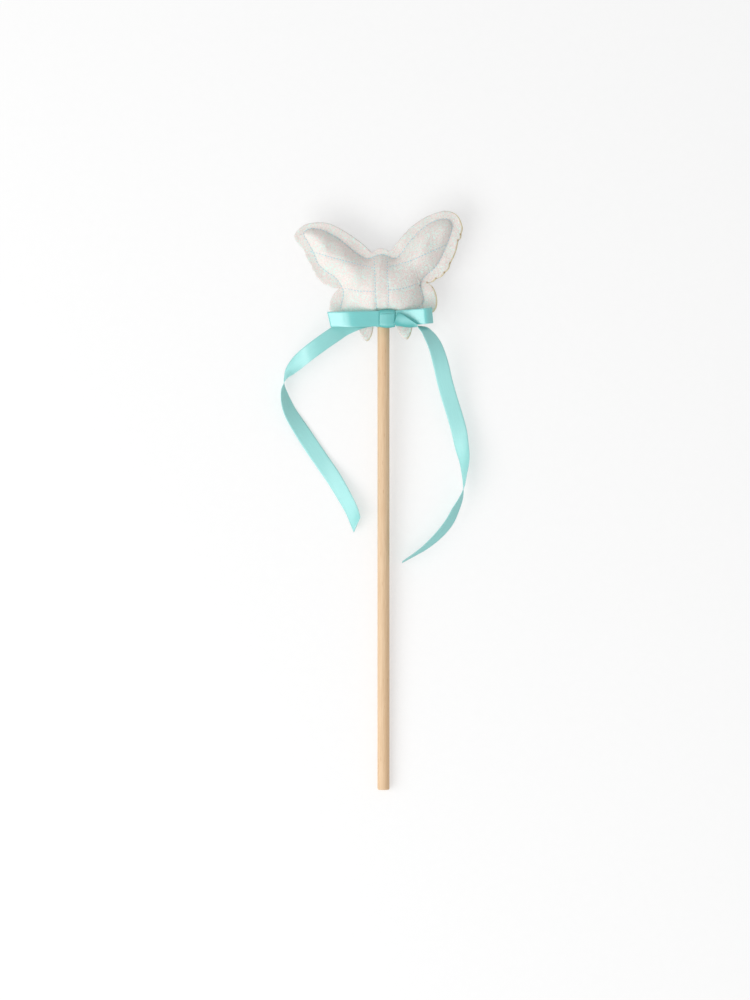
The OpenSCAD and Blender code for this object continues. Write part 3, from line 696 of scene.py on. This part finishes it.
# %% Settling the cloth
FRAMES = 20
CALM_PASSES = 10
SETTLE_CAP = 0.4 * MM
SEAM_PIN = 2 * MM
BOW_PIN = 5 * MM
BOW_PIN_FADE = 3 * MM
# One where the cloth is sewn or tied, and zero where it is free.
sewn = np.clip(1.25 - np.maximum(reach, 0) / SEAM_PIN, 0, 1)
sewn = np.maximum(sewn, np.clip(1.6 * valley - 0.5, 0, 1))
sewn = np.maximum(sewn, np.clip((KNOT_TOP + BOW_PIN - plan[..., 1]) / BOW_PIN_FADE, 0, 1))


def settle(piece):
    """Lets the filled cloth settle for some frames, then keeps the shape and drops the simulation."""
    group = piece.vertex_groups.new(name="sewn")
    for number, share in enumerate(sewn.ravel()):
        group.add([number], float(share), "REPLACE")
    clean(piece)
    cloth = piece.modifiers.new("cloth", "CLOTH")
    cloth.settings.quality = 4
    cloth.settings.mass = 0.2
    cloth.settings.tension_stiffness = 20
    cloth.settings.compression_stiffness = 20
    cloth.settings.shear_stiffness = 8
    cloth.settings.bending_stiffness = 10.0
    cloth.settings.vertex_group_mass = "sewn"
    cloth.settings.use_pressure = True
    cloth.settings.uniform_pressure_force = 4
    cloth.settings.shrink_min = -0.003
    cloth.settings.effector_weights.gravity = 0
    for number in range(1, FRAMES + 1):
        bpy.context.scene.frame_set(number)
    settled = piece.evaluated_get(bpy.context.evaluated_depsgraph_get()).data
    before, after = (np.array([v.co for v in m.vertices]) for m in (piece.data, settled))
    move = after - before
    # Ripples as small as the mesh are evened out, and the broad swelling stays.
    ends = np.array([e.vertices[:] for e in piece.data.edges])
    both = np.vstack([ends, ends[:, ::-1]])
    share = 1 / np.maximum(np.bincount(both[:, 0], minlength=len(move)), 1)[:, None]
    for _ in range(CALM_PASSES):
        spread = np.zeros_like(move)
        np.add.at(spread, both[:, 0], move[both[:, 1]])
        move = spread * share
    far = np.linalg.norm(move, axis=1)
    print(piece.name, "settled by", round(far.mean() / MM, 3), "mm, at most", round(far.max() / MM, 2), "mm")
    piece.modifiers.remove(cloth)
    kept = before + move * np.minimum(1, SETTLE_CAP / np.maximum(far, 1e-9))[:, None]
    # The table holds the back panel.
    kept[:, 2] = np.maximum(kept[:, 2], 0)
    piece.data.vertices.foreach_set("co", kept.astype(np.float32).ravel())
    bpy.context.scene.frame_set(1)


print("pinned share of the cloth", round(float(sewn.mean()), 2))

# %% [markdown]
# Both panels are made alike, so one function makes them. The back one is turned over and lies flat where
# the table holds it. It is shifted a little, because two layers never match by hand: it shows as a second
# edge at the margin.

# %% Front and back panels
WALL_SHARE = 0.9
BACK_EASE = 0.7
BACK_WAVE = 0.6
BACK_SHIFT = (0.38 * MM, -0.3 * MM)


def panel(name, node, face, shift, behind):
    """One panel: its face settled on the filling, with its thickness."""
    piece = piece_of(name, panel_mesh(name, face, shift), glitter)
    if behind:
        work = bmesh.new()
        work.from_mesh(piece.data)
        bmesh.ops.reverse_faces(work, faces=work.faces)
        work.to_mesh(piece.data)
        work.free()
    settle(piece)
    press(piece, "SOLIDIFY", thickness=CLOTH_T * WALL_SHARE, offset=-1)
    piece.data.shade_smooth()
    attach(piece, "wand")
    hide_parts(node)
    print(name, len(piece.data.polygons), "faces")
    return piece


top = height + CLOTH_T + ease + margin_wave
bottom = -(height + CLOTH_T + BACK_EASE * ease + BACK_WAVE * margin_wave)
bottom = np.maximum(bottom, table_under(plan[..., 1]))
front = panel("front_cloth", "front_panel", top, (0, 0), behind=False)
back = panel("back_cloth", "back_panel", bottom, BACK_SHIFT, behind=True)

# %% [markdown]
# ## Filling
# Polyester fibre fills the head. It touches the inside of both panels and parts where the dowel goes in.
# Nobody sees it, so a plain soft form is enough: the dome of the cloth drawn in a little, closed along the
# seam.

# %% Filling
FILL_GAP = 0.5 * MM
FILL_CLEAR = 1.5 * MM
TUFT = 3.0
inner = np.maximum(height[:, dome_rows] - FILL_GAP, 0)
under = np.maximum(-inner, table_under(across[..., 1]) + FILL_CLEAR)
upper_face, lower_face = (laid(np.concatenate([across, z[..., None]], -1)) for z in (inner, under))
mesh = grid_mesh("stuffing_fill", np.concatenate([upper_face, lower_face[:, ::-1]], 1), closed=True)
fibre, tree, shader = finish_for("polyester_fibre")
# White loose fibre: soft tufts, no gloss.
place = add(tree, "ShaderNodeTexCoord")
tuft = add(tree, "ShaderNodeTexNoise", {"Scale": 1000 / TUFT, "Detail": 5.0},
           {"Vector": place.outputs["Object"]})
tone = add(tree, "ShaderNodeValToRGB", links={"Fac": tuft.outputs["Fac"]})
tone.color_ramp.elements[0].color = linear("#E4E4E0")
tone.color_ramp.elements[1].color = linear("#F8F8F5")
tree.links.new(tone.outputs["Color"], shader.inputs["Base Color"])
shader.inputs["Roughness"].default_value = 1.0
fill = piece_of("stuffing_fill", mesh, fibre)
clean(fill, 1e-5)
fill.data.shade_smooth()
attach(fill, "wand")
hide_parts("stuffing")
print("filling", len(fill.data.polygons), "faces")

# %% [markdown]
# ## Stitches
# The seam and the lines on the wings are machine stitches in pale blue thread: short dashes that dip into
# the cloth at both ends. One stitch is shaped from a ball and copied along each line, laid on the cloth by
# a ray from above.

# %% One stitch
STITCH = (1.85 * MM, 0.58 * MM, 0.46 * MM)
STITCH_DIP = 0.2 * MM
STITCH_END = 0.95 * MM
bpy.ops.object.select_all(action="DESELECT")
bpy.ops.mesh.primitive_uv_sphere_add(segments=8, ring_count=6, radius=0.5)
stitch = bpy.context.object
bpy.ops.object.mode_set(mode="EDIT")
bpy.ops.mesh.select_all(action="SELECT")
bpy.ops.transform.resize(value=STITCH)
bpy.ops.object.mode_set(mode="OBJECT")
stitch_points = np.array([v.co for v in stitch.data.vertices])
stitch_points[:, 2] -= STITCH_DIP * (stitch_points[:, 0] / STITCH_END) ** 2
stitch_faces = [list(f.vertices) for f in stitch.data.polygons]
bpy.data.objects.remove(stitch)
print("one stitch", len(stitch_faces), "faces")

# %% Thread
# Spun polyester sewing thread: two plies give it fine slanting ridges and a soft sheen. The ridges are
# drawn coarser than real ones, because finer ones wouldn't show. A slanting wave of scale 1 repeats every
# pi / 5 along each axis.
PLY = 1.381
thread, tree, shader = finish_for("sewing_thread")
place = add(tree, "ShaderNodeTexCoord")
plies = add(tree, "ShaderNodeTexWave",
            {"Scale": 1000 * math.pi / 5 / PLY, "Distortion": 1.5, "bands_direction": "DIAGONAL"},
            {"Vector": place.outputs["Object"]})
tint = add(tree, "ShaderNodeValToRGB", links={"Fac": plies.outputs["Fac"]})
tint.color_ramp.elements[0].color = linear("#B4D5E0")
tint.color_ramp.elements[1].color = linear("#CBE4EC")
tree.links.new(tint.outputs["Color"], shader.inputs["Base Color"])
ridge = add(tree, "ShaderNodeBump", {"Strength": 0.4, "Distance": 0.0001}, {"Height": plies.outputs["Fac"]})
tree.links.new(ridge.outputs["Normal"], shader.inputs["Normal"])
shader.inputs["Roughness"].default_value = 0.55
shader.inputs["Sheen Weight"].default_value = 0.2
print("thread", len(tree.nodes), "nodes")

# %% Stitches along a line
SEAM_PITCH = 2.1 * MM
LINE_PITCH = 2.0 * MM
SEAM_CLEAR = 0.3 * MM
STITCH_SEAT = 0.08 * MM
STITCH_AHEAD = 0.2 * MM
RAY_FROM = 0.04


def sew(name, line, cloth, pitch, side, *nodes):
    """Stitches along a line, each resting on the cloth, as one piece. Side is 1 in front, -1 behind."""
    cloth_tree = BVHTree.FromObject(cloth, bpy.context.evaluated_depsgraph_get())
    gone = gone_along(line)
    count = max(2, int(gone[-1] / pitch))
    up = laid((0, 0, 1)) - laid((0, 0, 0))
    points, faces = [], []
    for k in range(count):
        middle = (k + 0.5) * gone[-1] / count
        spots = []
        for reached in (middle, middle + STITCH_AHEAD):
            spot = laid((np.interp(reached, gone, line[:, 0]), np.interp(reached, gone, line[:, 1]), 0))
            hit = cloth_tree.ray_cast(Vector(spot + side * RAY_FROM * up), Vector(-side * up))
            spots.append((spot, side * up) if hit[0] is None else (np.array(hit[0]), np.array(hit[1])))
        here, face = spots[0]
        run = unit(spots[1][0] - here)
        face = unit(face - run * (face @ run))
        turned = np.stack([run, np.cross(face, run), face])
        faces += [[v + len(points) for v in f] for f in stitch_faces]
        points += (here + STITCH_SEAT * face + stitch_points @ turned).tolist()
    mesh = bpy.data.meshes.new(name)
    mesh.from_pydata(points, [], faces)
    piece = piece_of(name, mesh, thread)
    mesh.shade_smooth()
    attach(piece, "wand")
    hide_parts(*nodes)
    print(name, count, "stitches")


# The seam's stitches lie a little outside the dome's foot, and stop at the mouth that takes the dowel.
low_line = low_seam + SEAM_CLEAR * unit(low_edge - low_seam)
high_line = high_seam + SEAM_CLEAR * unit(high_edge - high_seam)
round_seam = np.vstack([low_line[(MOUTH_FIRST - 1) * SPAN:0:-1], high_line[:-1],
                        low_line[:(MOUTH_LAST + 1) * SPAN - 1:-1]])
sew("seam_stitches_front", round_seam, front, SEAM_PITCH, 1, "seam_thread_front")
sew("seam_stitches_back", round_seam, back, SEAM_PITCH, -1, "seam_thread_back")
for name, line in line_paths.items():
    part, where = name.split("_", 1)
    sew(name + "_stitches", line, front, LINE_PITCH, 1, part + "_thread_" + where)

# %% [markdown]
# ## Dowel
# The stick is a plain birch dowel with no varnish. The solid model's shape is right, so it stays and gets a
# wood finish: pale straw colour, fine grain running along the stick, short darker pores and a slight warm
# drift.

# %% Birch
GRAIN = 0.8
DRIFT = 9.0
PORE = 1.6
birch, tree, shader = finish_for("bare_birch")
place = add(tree, "ShaderNodeTexCoord")
stretch = add(tree, "ShaderNodeMapping", {"Scale": (1.0, 0.035, 1.0)}, {"Vector": place.outputs["Object"]})
grain = add(tree, "ShaderNodeTexNoise", {"Scale": 1000 / GRAIN, "Detail": 4.0, "Roughness": 0.6},
            {"Vector": stretch.outputs["Vector"]})
drift = add(tree, "ShaderNodeTexNoise", {"Scale": 1000 / DRIFT, "Detail": 2.0},
            {"Vector": stretch.outputs["Vector"]})
wood = add(tree, "ShaderNodeValToRGB", links={"Fac": grain.outputs["Fac"]})
wood.color_ramp.elements[0].position = 0.3
wood.color_ramp.elements[0].color = linear("#D9B892")
wood.color_ramp.elements[1].position = 0.66
wood.color_ramp.elements[1].color = linear("#E6C9A6")
warm = add(tree, "ShaderNodeMapRange", {"From Min": 0.4, "From Max": 0.7, "To Max": 0.45},
           {"Value": drift.outputs["Fac"]})
warmer = add(tree, "ShaderNodeMix", {"data_type": "RGBA", 7: linear("#DFB383")},
             {0: warm.outputs["Result"], 6: wood.outputs["Color"]})
fleck = add(tree, "ShaderNodeMapping", {"Scale": (1.0, 0.12, 1.0)}, {"Vector": place.outputs["Object"]})
pores = add(tree, "ShaderNodeTexVoronoi", {"Scale": 1000 / PORE}, {"Vector": fleck.outputs["Vector"]})
pore_by = add(tree, "ShaderNodeMapRange", {"From Min": 0.06, "From Max": 0.16, "To Min": 0.5, "To Max": 0.0},
              {"Value": pores.outputs["Distance"]})
pored = add(tree, "ShaderNodeMix", {"data_type": "RGBA", 7: linear("#B98A5A")},
            {0: pore_by.outputs["Result"], 6: warmer.outputs[2]})
tree.links.new(pored.outputs[2], shader.inputs["Base Color"])
bump = add(tree, "ShaderNodeBump", {"Strength": 0.25, "Distance": 0.0002}, {"Height": grain.outputs["Fac"]})
tree.links.new(bump.outputs["Normal"], shader.inputs["Normal"])
shader.inputs["Roughness"].default_value = 0.62
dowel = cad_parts["dowel"]
dowel.data.materials.clear()
dowel.data.materials.append(birch)
print("dowel", [round(v * 1000, 1) for v in dowel.dimensions], "mm")

# %% [markdown]
# ## Ribbon
# The ribbon is double-faced satin, about 10 mm wide. Both faces show long floats of bright yarn, so light
# slides along it in broad bands, and it has a firm woven edge. One function makes three finishes of it: the
# plain one, a darker copy with painted shade for the knot, where the gathered band lies in shade, and a paler
# copy with painted light for the tails, which lie open to the light. The tails' copy also paints shade on the
# root beside the knot.

# %% Satin
YARN = 0.45
RIB = 0.789
EDGE_FROM = 4.75 * MM
EDGE_TO = 5.1 * MM
# Painted shade on the root: full up to the first way along the strip, gone by the second.
ROOT_SHADE_FULL = 12 * MM
ROOT_SHADE_GONE = 19 * MM
THROUGH = 0.1
SHADOW_THROUGH = 0.65


def satin(name, body, edge, gloss, streak, bright, passed, start=None):
    """Woven satin: streaks along the length, a firmer edge, and a gloss that is wider across than along."""
    material, tree, shader = finish_for(name)
    weave = add(tree, "ShaderNodeUVMap", {"uv_map": "weave"})
    part = add(tree, "ShaderNodeSeparateXYZ", links={"Vector": weave.outputs["UV"]})
    drawn = add(tree, "ShaderNodeMapping", {"Scale": (1.0, 0.04, 1.0)}, {"Vector": weave.outputs["UV"]})
    yarns = add(tree, "ShaderNodeTexNoise", {"Scale": 1000 / YARN, "Detail": 3.0},
                {"Vector": drawn.outputs["Vector"]})
    tone = add(tree, "ShaderNodeValToRGB", links={"Fac": yarns.outputs["Fac"]})
    tone.color_ramp.elements[0].position = 0.3
    tone.color_ramp.elements[0].color = linear(streak)
    tone.color_ramp.elements[1].position = 0.7
    tone.color_ramp.elements[1].color = linear(body)
    from_edge = add(tree, "ShaderNodeMath", {"operation": "ABSOLUTE"}, {0: part.outputs["X"]})
    edge_by = add(tree, "ShaderNodeMapRange", {"From Min": EDGE_FROM, "From Max": EDGE_TO, "To Max": 0.8},
                  {"Value": from_edge.outputs[0]})
    edged = add(tree, "ShaderNodeMix", {"data_type": "RGBA", 7: linear(edge)},
                {0: edge_by.outputs["Result"], 6: tone.outputs["Color"]})
    tree.links.new(edged.outputs[2], shader.inputs["Base Color"])
    if start:
        # Painted shade: the root, in a deep fold beside the knot, gets a darker colour near the knot that
        # fades out along it.
        near = add(tree, "ShaderNodeMapRange", {"From Min": ROOT_SHADE_FULL, "From Max": ROOT_SHADE_GONE},
                   {"Value": part.outputs["Y"]})
        painted_root_shade = add(tree, "ShaderNodeMix", {"data_type": "RGBA", 6: linear(start)},
                   {0: near.outputs["Result"], 7: edged.outputs[2]})
        tree.links.new(painted_root_shade.outputs[2], shader.inputs["Base Color"])
    # Fine ribs, coarser than real ones so that they show. A wave of scale 1 repeats every pi / 10.
    ribs_of = add(tree, "ShaderNodeTexWave", {"Scale": 1000 * math.pi / 10 / RIB, "Distortion": 0.6},
                  {"Vector": weave.outputs["UV"]})
    bump = add(tree, "ShaderNodeBump", {"Strength": 0.12, "Distance": 0.0001},
               {"Height": ribs_of.outputs["Fac"]})
    tree.links.new(bump.outputs["Normal"], shader.inputs["Normal"])
    shader.inputs["Roughness"].default_value = gloss
    shader.inputs["IOR"].default_value = bright
    shader.inputs["Specular IOR Level"].default_value = 1.0
    shader.inputs["Anisotropic"].default_value = 0.86
    lay = add(tree, "ShaderNodeTangent", {"direction_type": "UV_MAP", "uv_map": "weave"})
    tree.links.new(lay.outputs["Tangent"], shader.inputs["Tangent"])
    # Thin woven polyester: a part of the light goes through, so its shadows take on its colour.
    lit_behind = add(tree, "ShaderNodeBsdfTranslucent", links={"Color": edged.outputs[2]})
    thin = mix_in(tree, shader, lit_behind, THROUGH)
    through_it = add(tree, "ShaderNodeMath", {"operation": "MULTIPLY", 1: SHADOW_THROUGH},
                     {0: add(tree, "ShaderNodeLightPath").outputs["Is Shadow Ray"]})
    clear = add(tree, "ShaderNodeBsdfTransparent", {"Color": linear(passed)})
    mix_in(tree, thin, clear, through_it.outputs[0])
    print(name, len(tree.nodes), "nodes")
    return material


satin_face = satin("satin_ribbon_face", body="#40CDCB", edge="#8EE2DF", gloss=0.4,
                   streak="#38C7C4", bright=2.1, passed="#82F9F3")
# Painted shade: the knot's copy is darker and a little less glossy, for the shade in the gathered band.
satin_shaded_knot = satin("satin_ribbon_knot_painted_shade", body="#30BFBD", edge="#7AD8D5", gloss=0.4,
                   streak="#28B8B5", bright=1.9, passed="#82F9F3")
# Painted light: the tails' copy is paler, for the light the open tails catch; its start colour paints shade
# on the root beside the knot.
satin_lit_tails = satin("satin_ribbon_tail_painted_light", body="#90DFDC", edge="#AEECE9", gloss=0.46,
                   streak="#88D9D6", bright=1.85, passed="#C4D2D1", start="#25B3B1")

# %% [markdown]
# Every part of the bow is the same strip, so one helper lays a strip along a run of places. At each place
# it is given the direction across the ribbon. It keeps a flat map of the weave in metres, and gets its
# thickness at the end.

# %% Strip helper
RIBBON_W = 10.5 * MM
RIBBON_T = 0.35 * MM
STRIP_POINTS = 11
END_RUN = 12 * MM


def strip(name, middle, across_dirs, cup=0.0, end_cut=0.0, width=RIBBON_W, finish=satin_face):
    """A ribbon along the middle line and across the given directions. Its face looks along run x across."""
    run = unit(np.gradient(middle, axis=0))
    across_dirs = unit(across_dirs)
    face = unit(np.cross(run, across_dirs))
    steps = np.linspace(-0.5, 0.5, STRIP_POINTS)
    gone = gone_along(middle)
    bulge = np.broadcast_to(cup, len(middle))
    spread = np.broadcast_to(width, len(middle))
    slant = end_cut * np.clip((gone - gone[-1] + END_RUN) / END_RUN, 0, 1) ** 2
    points = (middle[:, None] + across_dirs[:, None] * (spread[:, None] * steps[None])[..., None]
              + face[:, None] * (bulge[:, None] * (1 - 4 * steps ** 2)[None])[..., None]
              + run[:, None] * (slant[:, None] * steps[None])[..., None])
    mesh = grid_mesh(name, points)
    uv = mesh.uv_layers.new(name="weave")
    flat = np.stack(np.broadcast_arrays((steps * RIBBON_W)[None], gone[:, None]), -1).reshape(-1, 2)
    corners = np.array([corner.vertex_index for corner in mesh.loops])
    uv.data.foreach_set("uv", flat[corners].astype(np.float32).ravel())
    piece = piece_of(name, mesh, finish)
    press(piece, "SOLIDIFY", thickness=RIBBON_T, offset=0)
    piece.data.shade_smooth()
    print(name, "length", round(gone[-1] / MM, 1), "mm,", len(piece.data.polygons), "faces")
    return piece, gone[-1]


# %% [markdown]
# ### Knot and loops
# The knot is a band pulled round the middle of the bow, and it bulges a little. Each loop is a flat drop
# that goes out from the knot in front and comes back behind. Its side view was set by the bands of light on
# the ribbon, because a picture from above shows no height.

# %% Bow places
KNOT_X, BOW_Y = seen((387.3, 318.5))
KNOT_Z = 5.7 * MM
KNOT_T = 4.2 * MM
KNOT_H = 10.7 * MM
KNOT_CUP = 0.7 * MM
LOOP_Z = KNOT_Z + KNOT_T / 2
LOOP_H = 5 * MM
print("knot at", [round(v / MM, 1) for v in (KNOT_X, BOW_Y, LOOP_Z)], "mm")

# %% Loops
# Each loop's profile: the way out from the knot and the height, in millimetres. The front layer comes
# first.
LEFT_PROFILE = [[0, 1.2], [4, 1.75], [9, 2.6], [14, 3.25], [17.5, 3.45], [20.5, 3.2], [23.5, 2.5],
                [26.5, 1.45], [29, 0.4], [31.4, -0.7], [32.9, -1.4], [33.5, -1.9], [33, -2.25],
                [31, -2.3], [27, -2.0], [18, -1.5], [8, -1.0], [0, -0.6]]
RIGHT_PROFILE = [[0, 0.7], [5, 1.2], [9, 2.2], [12, 3.3], [15, 4.6], [17.8, 5.8], [19.6, 6.4], [21, 6.3],
                 [22.4, 5.3], [23.6, 3.6], [24.5, 1.7], [24.8, 0.5], [24.4, -0.4], [20, -0.8], [12, -0.8],
                 [5, -0.75], [0, -0.6]]


def loop(name, node, profile, turn, start, slant):
    """A flat drop of ribbon from the knot, out along the front and back along the rear."""
    out, rise = through(np.array(profile) * MM, 8).T
    angle = math.radians(turn)
    along_dir = np.array([math.cos(angle), math.sin(angle), 0])
    facing = 1 if math.cos(angle) > 0 else -1
    side_dir = facing * np.array([-math.sin(angle), math.cos(angle), 0])
    middle = np.array([start, BOW_Y, LOOP_Z]) + out[:, None] * along_dir + rise[:, None] * np.array([0, 0, 1])
    across_dirs = facing * (side_dir + (slant * out / out.max())[:, None] * along_dir)
    piece, run = strip(name, laid(middle), laid(across_dirs) - laid((0, 0, 0)))
    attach(piece, "wand")
    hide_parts(node)


# %% Knot
corner = KNOT_T / 2
half = KNOT_H / 2 - corner
arc = np.linspace(0, np.pi, 13)
profile = ([(y, corner) for y in np.linspace(half, -half, 15)]
           + [(-half - corner * math.sin(t), corner * math.cos(t)) for t in arc[1:-1]]
           + [(y, -corner) for y in np.linspace(-half, half, 9)]
           + [(half + corner * math.sin(t), -corner * math.cos(t)) for t in arc[1:-1]])
profile = np.array(profile + profile[:1])
middle = np.stack([np.full(len(profile), KNOT_X), BOW_Y + profile[:, 0], LOOP_Z + profile[:, 1]], -1)
knot, knot_run = strip("bow_knot_band", laid(middle), np.tile([1.0, 0, 0], (len(middle), 1)), cup=KNOT_CUP,
                       finish=satin_shaded_knot)
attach(knot, "wand")
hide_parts("bow_knot")
loop("bow_loop_left_strip", "bow_loop_left", LEFT_PROFILE, turn=181, start=KNOT_X - RIBBON_W / 2, slant=0.21)
loop("bow_loop_right_strip", "bow_loop_right", RIGHT_PROFILE, turn=5, start=KNOT_X + RIBBON_W / 2, slant=0.0)

# %% [markdown]
# ### Tails
# Each tail starts at the knot and trails on the table. Its middle line was read from the picture. At each
# place it has a height, as a share of the height where it bends, and a turn about its run, so it can twist
# from one face to the other.

# %% Tails
TAIL_LEFT = [[343.5, 328.5], [336, 333.6], [328, 339], [317.5, 346.5], [307.5, 354], [298, 362],
             [290, 370], [285.3, 377.5], [283.6, 384], [283.4, 391], [286, 402], [291, 414], [301, 430],
             [311.5, 446], [322.5, 462], [333.5, 478], [343, 494], [351.5, 510], [357, 525]]
TAIL_LEFT_RISE = [1, 1.03, 1.07, 1.08, 0.98, 0.72, 0.5, 0.44, 0.42, 0.39, 0.325, 0.26, 0.165, 0.09, 0.08,
                  0.14, 0.24, 0.33, 0.42]
TAIL_LEFT_TURN = [0, 1, 2, 5, 12, 25, 50, 78, 92, 110, 130, 146, 164, 178, 182, 194, 204, 214, 226]
ROOT_LEFT = [[380.6, 318.2], [377, 318.3], [372, 318.7], [364, 320], [356, 322.6]]
ROOT_LEFT_RISE = [0.945, 0.83, 0.65, 0.52, 0.46]
TAIL_RIGHT = [[423.9, 330], [428, 334.6], [433, 342.2], [437, 351.4], [441.3, 366], [445, 382],
              [449.5, 398], [454.5, 414], [459, 430], [462, 446], [464.4, 460], [464.6, 474], [464, 486],
              [461, 498], [455.5, 510], [449.5, 522], [440, 534], [427, 546], [415.5, 554], [402.5, 562]]
TAIL_RIGHT_RISE = [0.97, 0.95, 0.91, 0.84, 0.7, 0.56, 0.45, 0.38, 0.34, 0.33, 0.34, 0.36, 0.38, 0.36,
                   0.31, 0.27, 0.25, 0.255, 0.28, 0.32]
TAIL_RIGHT_TURN = [117, 131, 146, 157, 170, 178, 180, 182, 190, 208, 230, 252, 266, 284, 297, 302, 299,
                   290, 281, 275]
ROOT_RIGHT = [[395.8, 318.2], [399.5, 319.4], [405, 321.6], [411, 324], [415.3, 325.4], [418.8, 326.6]]
ROOT_RIGHT_RISE = [0.4, 0.52, 0.62, 0.64, 0.58, 0.56]
ROOT_RIGHT_TURN = [-10, 10, 34, 56, 76, 97]
ROOT_RIGHT_GATHER = [0.8, 0.8, 0.78, 0.78, 0.84, 0.93]
GATHER_CUP = 4 * MM
# The height over the table at which each tail leaves the bow.
bow_h = REST_H + BOW_Y * math.sin(TILT)
bend_left = bow_h + 0.44 * KNOT_Z - 0.4 * MM
bend_right = bow_h + LOOP_Z + 0.94 * LOOP_H - 1.0 * MM


def free_tail(name, nodes, root, root_z, root_turn, tail, rise, turn, bend, end_cut,
              gather=()):
    """A tail from the knot to its free end: its start lies on the bow, the rest trails on the table."""
    start = laid(np.concatenate([seen(root), root_z[:, None]], 1))
    free = np.concatenate([seen(tail), (np.array(rise) * bend)[:, None]], 1)
    places = np.vstack([start, free])
    middle = through(places, 10)
    angle = np.radians(through(np.array(root_turn + turn, float)[:, None], 10))
    run = unit(np.gradient(middle, axis=0))
    left = unit(np.cross((0, 0, 1), run))
    across_dirs = np.cos(angle) * left + np.sin(angle) * np.cross(run, left)
    pulled = np.concatenate([gather, np.ones(len(places) - len(gather))])
    pulled = through(pulled[:, None], 10)[:, 0]
    piece, length = strip(name, middle, across_dirs, cup=GATHER_CUP * (1 - pulled), end_cut=end_cut,
                          width=RIBBON_W * pulled, finish=satin_lit_tails)
    lowest = min(v.co.z for v in piece.data.vertices)
    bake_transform(piece)
    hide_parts(*nodes)
    print(name, "lowest point", round(lowest / MM, 2), "mm")


free_tail("tail_left_strip", ("tail_root_left", "tail_left"), root=ROOT_LEFT,
          root_z=np.array(ROOT_LEFT_RISE) * KNOT_Z, root_turn=[0] * len(ROOT_LEFT), tail=TAIL_LEFT,
          rise=TAIL_LEFT_RISE, turn=TAIL_LEFT_TURN, bend=bend_left,
          end_cut=7 * MM)
free_tail("tail_right_strip", ("tail_root_right", "tail_right"), root=ROOT_RIGHT,
          root_z=LOOP_Z + np.array(ROOT_RIGHT_RISE) * LOOP_H, root_turn=ROOT_RIGHT_TURN, tail=TAIL_RIGHT,
          rise=TAIL_RIGHT_RISE, turn=TAIL_RIGHT_TURN, bend=bend_right,
          end_cut=0.0, gather=ROOT_RIGHT_GATHER)

# %% [markdown]
# ### Turns round the dowel
# Behind the knot the ribbon is wound round the dowel, just under the cloth's mouth. The picture can't show
# that, so three plain turns are guessed: a strip on a slow spiral, each turn lying on the last.

# %% Turns round the dowel
TURNS = 3
TURN_POINTS = 150
TURN_R = 4.25 * MM
TURN_RISE = 0.35 * MM
TURN_W = 8.4 * MM
TURN_DOWN = 4.4 * MM
TURN_STRAY = 0.25 * MM
wrap_top = LIP_Y - 0.3 * MM
angle = np.linspace(0, 2 * np.pi * TURNS, TURN_POINTS)
radius = TURN_R + TURN_RISE * angle / (2 * np.pi)
stray = wrap_top - TURN_DOWN + TURN_STRAY * np.sin(angle / 2.3)
middle = laid(np.stack([radius * np.sin(angle), stray, radius * np.cos(angle)], -1))
wrap_axis = laid((0, 1, 0)) - laid((0, 0, 0))
wrap, wrap_run = strip("ribbon_turns", middle, np.tile(wrap_axis, (len(middle), 1)), width=TURN_W)
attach(wrap, "wand")
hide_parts("ribbon_wrap")
